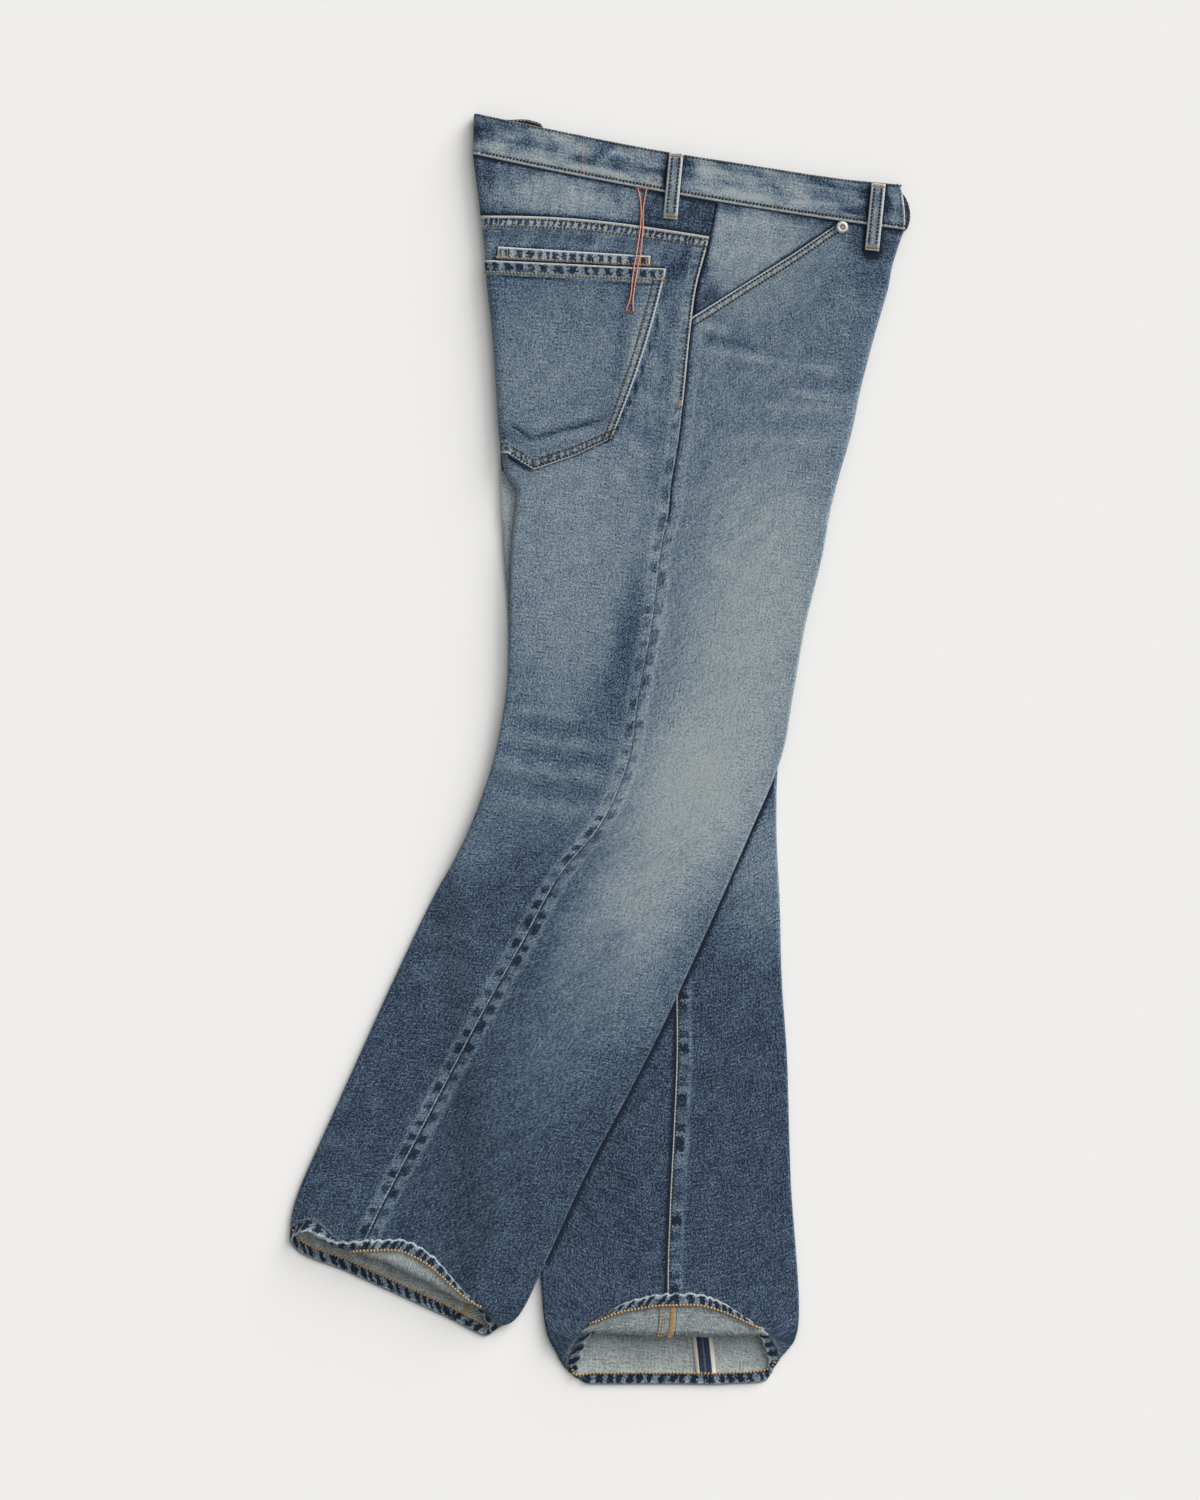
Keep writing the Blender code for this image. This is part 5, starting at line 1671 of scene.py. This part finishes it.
def inner_strip(name, edge, half, offsets, surface, shift=0.0, lean=0.0):
    """A strip on the inner side of two panels, along their seam, moved sideways and leaning."""
    rows = range(STRIP_ROWS, len(HEM_STEPS) - 2, -1)
    lines = []
    for above_hem, part in zip(rows, np.linspace(-0.5, 0.5, len(rows))):
        line = []
        for offset in np.array(offsets) + shift + lean * part:
            points, normals, edges, wall, _ = GRIDS[f"{half}_{'front' if offset > 0 else 'back'}_cloth"]
            i = points.shape[0] - above_hem
            grids = (points[i], normals[i], wall[i])
            place, way, depth = (at_distance(abs(offset), edges[edge][i], grid) for grid in grids)
            line.append(place - way * (depth + INNER_GAP + INNER_WALL))
        lines.append(line)
    # the left strips take the painted shade of the raised lip
    marks = {"across": np.array(offsets), "lining": LINING_PAINTED_SHADE if half == "left" else LINING_RIGHT}
    cloth(name, np.array(lines), INNER_WALL, marks, flip=half == "left", surfaces=(surface,) * 4)


def edged(name, dark, pale, bands):
    """Cloth of a dark colour with paler bands at given distances from the strip's middle."""
    sums = Sums(name)
    grain, _ = grain_of(sums, sums.mark("weave").outputs["Vector"])
    reach = sums.sum("ABSOLUTE", sums.number("across"))
    mixed = sums.ramp(sums.add(grain, 0.4), ((0.0, dark), (1.0, pale)))
    for low, high, colour in bands:
        share = sums.window(reach, low - BAND_BLUR, low + BAND_BLUR, high - BAND_BLUR, high + BAND_BLUR)
        mixed = sums.mix(share, mixed, colour)
    return sums.finish(mixed, 0.9, Specular_IOR_Level=0.15)


SELVEDGE = edged("selvedge", (0.010, 0.018, 0.040), (0.050, 0.075, 0.120), (
    (0.0, 0.7, (0.10, 0.13, 0.16)), (SELVEDGE_HALF - 3.8, SELVEDGE_HALF + 1.0, (0.60, 0.57, 0.48)),
))  # fmt: skip
inner_strip("selvedge_cloth", "first", "left", SELVEDGE_OFFSETS, SELVEDGE, SELVEDGE_SHIFT, SELVEDGE_LEAN)
inner_strip("left_felled_cloth", "last", "left", FELL_OFFSETS, DENIM_INSIDE, LEFT_FELL_SHIFT)
inner_strip("right_felled_cloth", "last", "right", FELL_OFFSETS, DENIM_INSIDE, RIGHT_FELL_SHIFT)

# %% [markdown]
# ## Sewing
# A row of stitches repeats one short thread along a line, which is work for Geometry Nodes. The tree
# takes a mesh of plain lines, walks along them in steps of the stitch pitch, and sets one bead of
# thread at each step, turned along the line and facing out of the cloth. Turned a quarter, the same
# beads lie side by side and make a bartack.

# %% Stitch tree
BEAD_SEGMENTS, BEAD_RINGS = 6, 4
ROW_SIZES = {"Pitch": 0.003, "Length": 0.0026, "Thickness": 0.0006, "Turn": 0.0, "Lift": 0.0}


def stitch_tree():
    tree = bpy.data.node_groups.new("stitch_row", "GeometryNodeTree")
    face = tree.interface
    face.new_socket("Lines", in_out="INPUT", socket_type="NodeSocketGeometry")
    for name, value in ROW_SIZES.items():
        face.new_socket(name, in_out="INPUT", socket_type="NodeSocketFloat").default_value = value
    face.new_socket("Thread", in_out="INPUT", socket_type="NodeSocketMaterial")
    face.new_socket("Stitches", in_out="OUTPUT", socket_type="NodeSocketGeometry")
    given = tree.nodes.new("NodeGroupInput").outputs
    result = tree.nodes.new("NodeGroupOutput")

    def made_by(kind, inputs=None, **settings):
        return add_node(tree, kind, inputs, **settings).outputs[0]

    curve = made_by("GeometryNodeMeshToCurve", {0: given["Lines"]})
    walked = made_by("GeometryNodeResampleCurve", {"Curve": curve, "Length": given["Pitch"]}, mode="LENGTH")
    bead_inputs = {"Segments": BEAD_SEGMENTS, "Rings": BEAD_RINGS, "Radius": 0.5}
    bead = made_by("GeometryNodeMeshUVSphere", bead_inputs)
    size = made_by("ShaderNodeCombineXYZ", {0: given["Length"], 1: given["Thickness"], 2: given["Thickness"]})
    along = made_by("GeometryNodeInputTangent")
    out = made_by("GeometryNodeInputNamedAttribute", {"Name": "out"}, data_type="FLOAT_VECTOR")
    align = "FunctionNodeAlignRotationToVector"
    turned = made_by(align, {"Vector": along}, axis="X")
    turned = made_by(align, {"Rotation": turned, "Vector": out}, axis="Z", pivot_axis="X")
    quarter = made_by("ShaderNodeCombineXYZ", {2: given["Turn"]})
    turned = made_by("FunctionNodeRotateRotation", {0: turned, 1: quarter}, rotation_space="LOCAL")
    lift = made_by("ShaderNodeVectorMath", {0: out, "Scale": given["Lift"]}, operation="SCALE")
    raised = made_by("GeometryNodeSetPosition", {"Geometry": walked, "Offset": lift})
    beads = {"Points": raised, "Instance": bead, "Rotation": turned, "Scale": size}
    real = made_by("GeometryNodeRealizeInstances", {0: made_by("GeometryNodeInstanceOnPoints", beads)})
    smooth = made_by("GeometryNodeSetShadeSmooth", {"Geometry": real})
    dyed = made_by("GeometryNodeSetMaterial", {"Geometry": smooth, "Material": given["Thread"]})
    tree.links.new(dyed, result.inputs[0])
    return tree


STITCH_ROW = stitch_tree()


def thread_material(name, colour, dark):
    """Cotton thread: its own colour, darker in the twist."""
    sums = Sums(name)
    place = add_node(sums.tree, "ShaderNodeTexCoord").outputs["Object"]
    worn = sums.noise(place, 900.0, 2.0)
    shade = sums.ramp(worn, ((0.3, dark), (0.65, colour)))
    twist = sums.bump(sums.noise(place, 3000.0, 1.0), 0.0002, 0.4)
    return sums.finish(shade, 0.9, twist, Sheen_Weight=0.04, Specular_IOR_Level=0.12)


THREADS = {
    "brown": thread_material("brown_thread", (0.15, 0.100, 0.062), (0.04, 0.03, 0.026)),
    "gold": thread_material("gold_thread", (0.52, 0.33, 0.12), (0.30, 0.18, 0.07)),
    "cream": thread_material("cream_thread", (0.80, 0.76, 0.66), (0.55, 0.50, 0.42)),
    "tan": thread_material("tan_thread", (0.34, 0.24, 0.14), (0.16, 0.11, 0.07)),
    "dark": thread_material("dark_thread", (0.050, 0.038, 0.034), (0.018, 0.015, 0.015)),
    "grey": thread_material("grey_thread", (0.17, 0.13, 0.10), (0.05, 0.042, 0.04)),
    "coral": thread_material("coral_stitch", (0.70, 0.30, 0.22), (0.45, 0.18, 0.13)),
}
print("threads:", sorted(THREADS))

# %% [markdown]
# ## Where the rows run
# A row of stitches keeps a fixed distance from an edge. On a grid of cloth that is a line at a fixed
# distance from the top, foot, first or last column, so each row is found on the grid itself and follows
# every bend of the cloth. Rows on the inner side lie on the other face of the wall.

# %% Stitch rows
PITCH, STITCH, THICKNESS = 3.3, 2.4, 0.6
QUARTER = pi / 2
UNDERSIDE = 1.3  # below this the cloth's outer side rests flat and has no sewing
Row = namedtuple("Row", "cloth edge offset start end inside", defaults=(0.0, 1e9, False))
Sewing = namedtuple(
    "Sewing", "name thread rows pitch long thick turn", defaults=(PITCH, STITCH, THICKNESS, 0.0)
)


def row_on(row):
    """A line on a sheet at a distance from one of its edges, with the way out of the cloth."""
    points, normals, edges, wall, there = GRIDS[row.cloth]
    across = row.edge in ("top", "foot")
    near = {"top": (0, None), "foot": (-1, None), "first": (None, 0), "last": (None, -1)}[row.edge]
    line, out = [], []
    for i in range(points.shape[1] if across else points.shape[0]):
        cut = (slice(None), i) if across else (i, slice(None))
        if not (there[near[0], i] if across else there[i, near[1]]):
            continue
        grids = (points[cut], normals[cut], wall[cut])
        place, way, depth = (at_distance(row.offset, edges[row.edge][cut], grid) for grid in grids)
        if row.inside:
            place, way = place - way * depth, -way
        line.append(place)
        out.append(way)
    along, line = distances(line), np.array(line)
    start = row.start if row.start >= 0 else along[-1] + row.start
    kept = (along >= start) & (along <= row.end) & (line[:, 2] > UNDERSIDE)
    return line[kept], unit(np.array(out))[kept]


def flat_line(level, *places):
    """A line through places seen from above, on a level surface."""
    line = np.array([(*place, level) for place in places], float)
    return line, np.tile([0.0, 0.0, 1.0], (len(line), 1))


def sewn(sewing):
    """One mesh of stitches along several lines, made by the stitch tree."""
    lines = [row_on(row) if isinstance(row, Row) else row for row in sewing.rows]
    mesh = bpy.data.meshes.new(sewing.name)
    starts = np.cumsum([0] + [len(line) for line, _ in lines])
    pairs = [(i, i + 1) for a, b in zip(starts[:-1], starts[1:]) for i in range(a, b - 1)]
    mesh.from_pydata((np.concatenate([line for line, _ in lines]) * MM).tolist(), pairs, [])
    outs = np.concatenate([out for _, out in lines]).astype(np.float32)
    mesh.attributes.new("out", "FLOAT_VECTOR", "POINT").data.foreach_set("vector", outs.ravel())
    made = add_object(sewing.name, mesh)
    rows = made.modifiers.new("rows", "NODES")
    rows.node_group = STITCH_ROW
    sizes = {"Pitch": sewing.pitch, "Length": sewing.long, "Thickness": sewing.thick, "Lift": BEAD_LIFT}
    for item in STITCH_ROW.interface.items_tree:
        if item.name in sizes:
            rows[item.identifier] = sizes[item.name] * MM
        elif item.name == "Turn":
            rows[item.identifier] = sewing.turn
        elif item.name == "Thread":
            rows[item.identifier] = THREADS[sewing.thread]
    PIECES[sewing.name] = plain_mesh(made)
    print(sewing.name, len(made.data.polygons), "faces")


PANEL_LEVEL = TOP
POCKET_LEVEL = TOP + SEAM_GAP + CLOTH
STRIP_LEVEL = TOP + SEAM_GAP + STRIP_WALL
SLANT_LENGTH = 176.0
BEAD_LIFT = 0.12
TACK = {"pitch": 0.7, "long": 2.6, "thick": 0.55, "turn": QUARTER}


def square(level, x, y, size):
    """Four sides of a small box of stitches."""
    corners = [(x - size, y - size), (x + size, y - size), (x + size, y + size), (x - size, y + size)]
    return flat_line(level, *corners, corners[0])


WAISTBAND, POCKET = "waistband_cloth", "back_pocket_cloth"
BAND_PLACES = ((-15.5, 580), (-17.5, 547)), ((50, 567), (47.5, 534))
FRONTS_AND_BACKS = [f"{half}_{part}_cloth" for half in ("right", "left") for part in ("front", "back")]
SEWINGS = (
    Sewing("waistband_seam_stitches", "dark", [Row(WAISTBAND, *BAND_ROWS[0], 0, 412)], thick=2.5),
    Sewing("waistband_edge_stitches", "grey", [Row(WAISTBAND, *BAND_ROWS[1], 0, 405)], thick=2.4),
    Sewing("waistband_end_stitches", "brown", [
        Row(WAISTBAND, "top", 2.5), Row(WAISTBAND, "foot", 1.2, inside=True),
    ], thick=1.3),
    Sewing("waistband_far_stitches", "gold", [Row(WAISTBAND, "last", 1.6, 425, 520, True)], thick=1.2),
    Sewing("yoke_stitches", "brown", [Row("right_back_cloth", *row, 0, 210) for row in YOKE_ROWS], thick=2.4),
    Sewing("side_seam_stitches", "dark", [
        Row("right_back_cloth", *row, 4, LAP_END - 34) for row in SIDE_ROWS
    ], thick=2.4),
    Sewing("slant_stitches", "dark", [
        Row("right_front_cloth", *row, 3, SLANT_LENGTH) for row in SLANT_ROWS
    ], thick=2.4),
    Sewing("pocket_band_stitches", "tan", [Row(POCKET, *POCKET_ROWS[0])], thick=2.3),
    Sewing("pocket_edge_stitches", "dark", [
        Row(POCKET, *POCKET_ROWS[1], 12), Row(POCKET, *POCKET_ROWS[3], 12),
    ], thick=2.4),
    Sewing("pocket_inner_stitches", "brown", [
        Row(POCKET, *POCKET_ROWS[2], 12, 168), Row(POCKET, *POCKET_ROWS[4], 12, 176),
    ], thick=2.3),
    Sewing("strip_stitches", "tan", [Row("pocket_strip_cloth", "foot", 1.4)], thick=2.3),
    Sewing("strip_tacks", "gold", [
        square(STRIP_LEVEL, -92.0, 471.6, 3.8), square(STRIP_LEVEL, 42.0, 464.2, 3.8),
        flat_line(POCKET_LEVEL, (50, 456.5), (60.5, 456), (60, 446.5), (51, 446.5)),
    ], pitch=1.1, long=1.6, thick=1.1),
    Sewing("side_seam_tack", "gold", [flat_line(PANEL_LEVEL + 0.3, (76.0, 335), (74.5, 325))], **TACK),
    Sewing("back_seam_stub", "brown", [
        flat_line(PANEL_LEVEL, (-94.5, 287), (-91, 276)), flat_line(PANEL_LEVEL, (-91.5, 289), (-88, 277)),
    ], thick=1.1),
    Sewing("loop_stitches", "dark", [
        Row(loop.name, *row, 6, 57) for loop in LOOPS for row in LOOP_ROWS
    ], long=2.4, thick=2.3),
    Sewing("loop_tacks", "gold", [
        Row(loop.name, edge, 3.2) for loop in LOOPS for edge in ("top", "foot")
    ], **TACK),
    Sewing("hem_outer_stitches", "brown", [
        Row(name, *HEM_ROWS[0]) for name in FRONTS_AND_BACKS
    ], thick=1.6),
    Sewing("hem_inner_stitches", "gold", [
        Row(name, *HEM_ROWS[0], inside=True) for name in FRONTS_AND_BACKS
    ], long=2.7, thick=2.8),
    Sewing("hem_thread_ends", "cream", [
        flat_line(PANEL_LEVEL, (-238.5, -473.5), (-233.0, -476.0)),
        flat_line(PANEL_LEVEL, (-222.5, -475.5), (-219.5, -480.0)),
    ], pitch=1.4, long=3.4, thick=1.3),
    Sewing("inseam_stitches", "dark", [Row("left_front_cloth", *INSEAM_ROWS[0], 260)], thick=1.8),
    Sewing("felled_stitches", "gold", [
        Row(f"{half}_felled_cloth", "first", offset) for half in ("left", "right") for offset in (1.4, 4.0)
    ], thick=1.4),
    Sewing("overcast_stitches", "gold", [
        Row(f"{half}_felled_cloth", "last", 3.3) for half in ("left", "right")
    ], pitch=1.15, long=6.4, thick=1.0, turn=QUARTER),
    Sewing("coral_stitches", "coral", [
        flat_line(BAND_TOP, *BAND_PLACES[0]), flat_line(BAND_TOP, *BAND_PLACES[1]),
        flat_line(BAND_TOP, (34.5, 533.5), (45, 532)),
    ], thick=0.7),
)  # fmt: skip
for sewing in SEWINGS:
    sewn(sewing)

# %% [markdown]
# ## Rivet
# The rivet is a copper-backed nickel cap with a raised rim and a worn dimple, turned about its axis.

# %% Rivet
RIVET_PLACE = (230, 496.3)
RIVET_RADIUS = 5.8
RIVET_STEPS = 48
RIVET_PROFILE = (
    (0.0, 1.25), (0.8, 1.28), (1.5, 1.05), (2.0, 1.0), (2.4, 1.25), (2.9, 1.6), (3.5, 1.72), (4.2, 1.6),
    (4.9, 1.25), (5.4, 0.8), (5.75, 0.35), (5.8, 0.1), (5.7, 0.0), (0.0, 0.0),
)  # fmt: skip


def metal(name):
    """Worn nickel, brown where the plating has gone from the ring round the dimple."""
    sums = Sums(name)
    place = add_node(sums.tree, "ShaderNodeTexCoord").outputs["Object"]
    centre = (RIVET_PLACE[0] * MM, RIVET_PLACE[1] * MM, 0)
    flat = {0: sums.stretch(place, (1, 1, 0)), 1: centre}
    away = add_node(sums.tree, "ShaderNodeVectorMath", flat, operation="DISTANCE").outputs["Value"]
    patches = sums.times(sums.less(sums.noise(place, 900.0), 0.5), 0.25)
    wear = sums.add(sums.times(away, 1 / (RIVET_RADIUS * MM)), patches)
    stops = (
        (0.0, (0.34, 0.29, 0.25)), (0.20, (0.40, 0.34, 0.30)), (0.30, (0.14, 0.10, 0.08)),
        (0.40, (0.24, 0.19, 0.16)), (0.52, (0.60, 0.58, 0.55)), (1.0, (0.52, 0.51, 0.49)),
    )  # fmt: skip
    return sums.finish(sums.ramp(wear, stops), 0.55, Metallic=0.35)


def rivet():
    points = [(x * MM, 0.0, z * MM) for x, z in RIVET_PROFILE]
    mesh = bpy.data.meshes.new("rivet_cap")
    mesh.from_pydata(points, [(i, i + 1) for i in range(len(points) - 1)], [])
    made = add_object("rivet_cap", mesh)
    turned = made.modifiers.new("turned", "SCREW")
    turned.steps = turned.render_steps = RIVET_STEPS
    turned.use_merge_vertices = True
    turned.merge_threshold = 0.00002
    turned.use_normal_calculate = True
    plain_mesh(made)
    for vertex in made.data.vertices:
        vertex.co += Vector((RIVET_PLACE[0], RIVET_PLACE[1], TOP + SEAM_GAP)) * MM
    made.data.materials.clear()
    made.data.materials.append(metal("worn_nickel"))
    made.data.shade_smooth()
    PIECES["rivet_cap"] = made


rivet()

# %% [markdown]
# ## Loose threads
# Two ends of the coral thread that marks the back of the waistband hang over the yoke and the pocket.
# Each is a round cord along a given route, and ends in three frayed plies.

# %% Threads
THREAD_DIAMETER = 1.2
THREAD_ROUTES = {
    "coral_thread_back": (
        (36, 533), (38.3, 522), (39.0, 511), (38.4, 498), (37, 486), (34.8, 472),
        (32.2, 458), (30.6, 446), (29.6, 435), (28.2, 427), (25, 419),
    ),
    "coral_thread_front": (
        (44, 532), (42.2, 522), (40.7, 511), (40.9, 498), (40, 486), (38.4, 472),
        (35.8, 458), (33.8, 446), (32.2, 435), (31.2, 427), (31.5, 418),
    ),
}  # fmt: skip
THREAD_CLIMB = (492.0, 8.0)
PLIES = ((-0.5, -0.9), (0.1, -1.0), (0.7, -0.8))
PLY_RADIUS = 0.22
ROUTE_STEP = 1.5


def tube(name, points, radius, surface):
    curve = bpy.data.curves.new(name, "CURVE")
    curve.dimensions = "3D"
    curve.bevel_depth = radius * MM
    curve.bevel_resolution = 3
    curve.use_fill_caps = True
    spline = curve.splines.new("POLY")
    spline.points.add(len(points) - 1)
    for point, place in zip(spline.points, np.asarray(points) * MM):
        point.co = (*place, 1.0)
    curve.materials.append(surface)
    return add_object(name, curve)


CORAL = thread_material("coral_thread", (0.74, 0.34, 0.25), (0.50, 0.19, 0.14))
CORDS = {}
for name, route in THREAD_ROUTES.items():
    route = np.array(route, float)
    climb = (CLOTH + SEAM_GAP) * smoothstep((THREAD_CLIMB[0] - route[:, 1]) / THREAD_CLIMB[1])
    knots = np.column_stack([route, TOP + SEAM_GAP + THREAD_DIAMETER / 2 + climb])
    total = distances(knots)[-1]
    smooth = curve_through(distances(knots), knots)(np.linspace(0, total, int(total / ROUTE_STEP)))
    end = smooth[-1]
    plies = []
    for i, (x, y) in enumerate(PLIES):
        middle, tip = end + [x * 2.2, y * 2.0, 0.1], end + [x * 5.0, y * 4.0, -0.2]
        plies.append(tube(f"{name}_ply_{i}", [end, middle, tip], PLY_RADIUS, CORAL))
    CORDS[name] = (tube(name, smooth, THREAD_DIAMETER / 2, CORAL), smooth, plies)
print("threads:", {name: round(distances(line)[-1]) for name, (_, line, _) in CORDS.items()})

# %% [markdown]
# ## Rides, sheets and the closing lines
# Every piece rides on the one body. A table lists the size each sheet of cloth was cut to, and, for
# most, the solid of the model that it stands for, which is hidden.

# %% Rides and cuts
Cut = namedtuple("Cut", "piece node width length area on")
CUTS = (
    Cut("right_front_cloth", "right_front_panel", 0.32, 1.10, 0.26, "right_back_panel"),
    Cut("right_back_cloth", "right_back_panel", 0.40, 1.12, 0.31, "left_back_panel"),
    Cut("left_front_cloth", "left_front_panel", 0.32, 1.12, 0.28, ""),
    Cut("left_back_cloth", "left_back_panel", 0.40, 1.12, 0.31, ""),
    Cut("right_yoke_cloth", "right_yoke", 0.245, 0.036, None, "left_yoke"),
    Cut("left_yoke_cloth", "left_yoke", 0.245, 0.036, None, ""),
    Cut("waistband_cloth", "waistband", 0.84, 0.04, None, ""),
    Cut("pocket_facing_cloth", "right_pocket_facing", 0.165, 0.125, 0.010, ""),
    Cut("back_pocket_cloth", "right_back_pocket", 0.19, 0.20, 0.030, "right_back_panel"),
    Cut("pocket_strip_cloth", "right_pocket_strip", 0.146, 0.012, None, "right_back_panel"),
    Cut("belt_loop_side_cloth", "belt_loop_side", 0.0135, 0.064, None, "waistband"),
    Cut("belt_loop_front_cloth", "belt_loop_front", 0.0135, 0.064, None, "waistband"),
    Cut("selvedge_cloth", "", 0.019, 0.10, None, "left_front_panel"),
    Cut("left_felled_cloth", "", 0.016, 0.085, None, "left_front_panel"),
    Cut("right_felled_cloth", "", 0.016, 0.07, None, "right_front_panel"),
)
NODES_OF = {cut.piece: cut.node for cut in CUTS if cut.node} | {"rivet_cap": "pocket_rivet"}
for name, piece in PIECES.items():
    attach(piece, "root")
    if name in NODES_OF:
        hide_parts(NODES_OF[name])
for (name, (cord, line, plies)), node in zip(CORDS.items(), ("loose_thread_back", "loose_thread_front")):
    for piece in (cord, *plies):
        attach(piece, "root")
    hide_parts(node)
print("declared:", len(CUTS), "sheets and", len(CORDS), "cords")
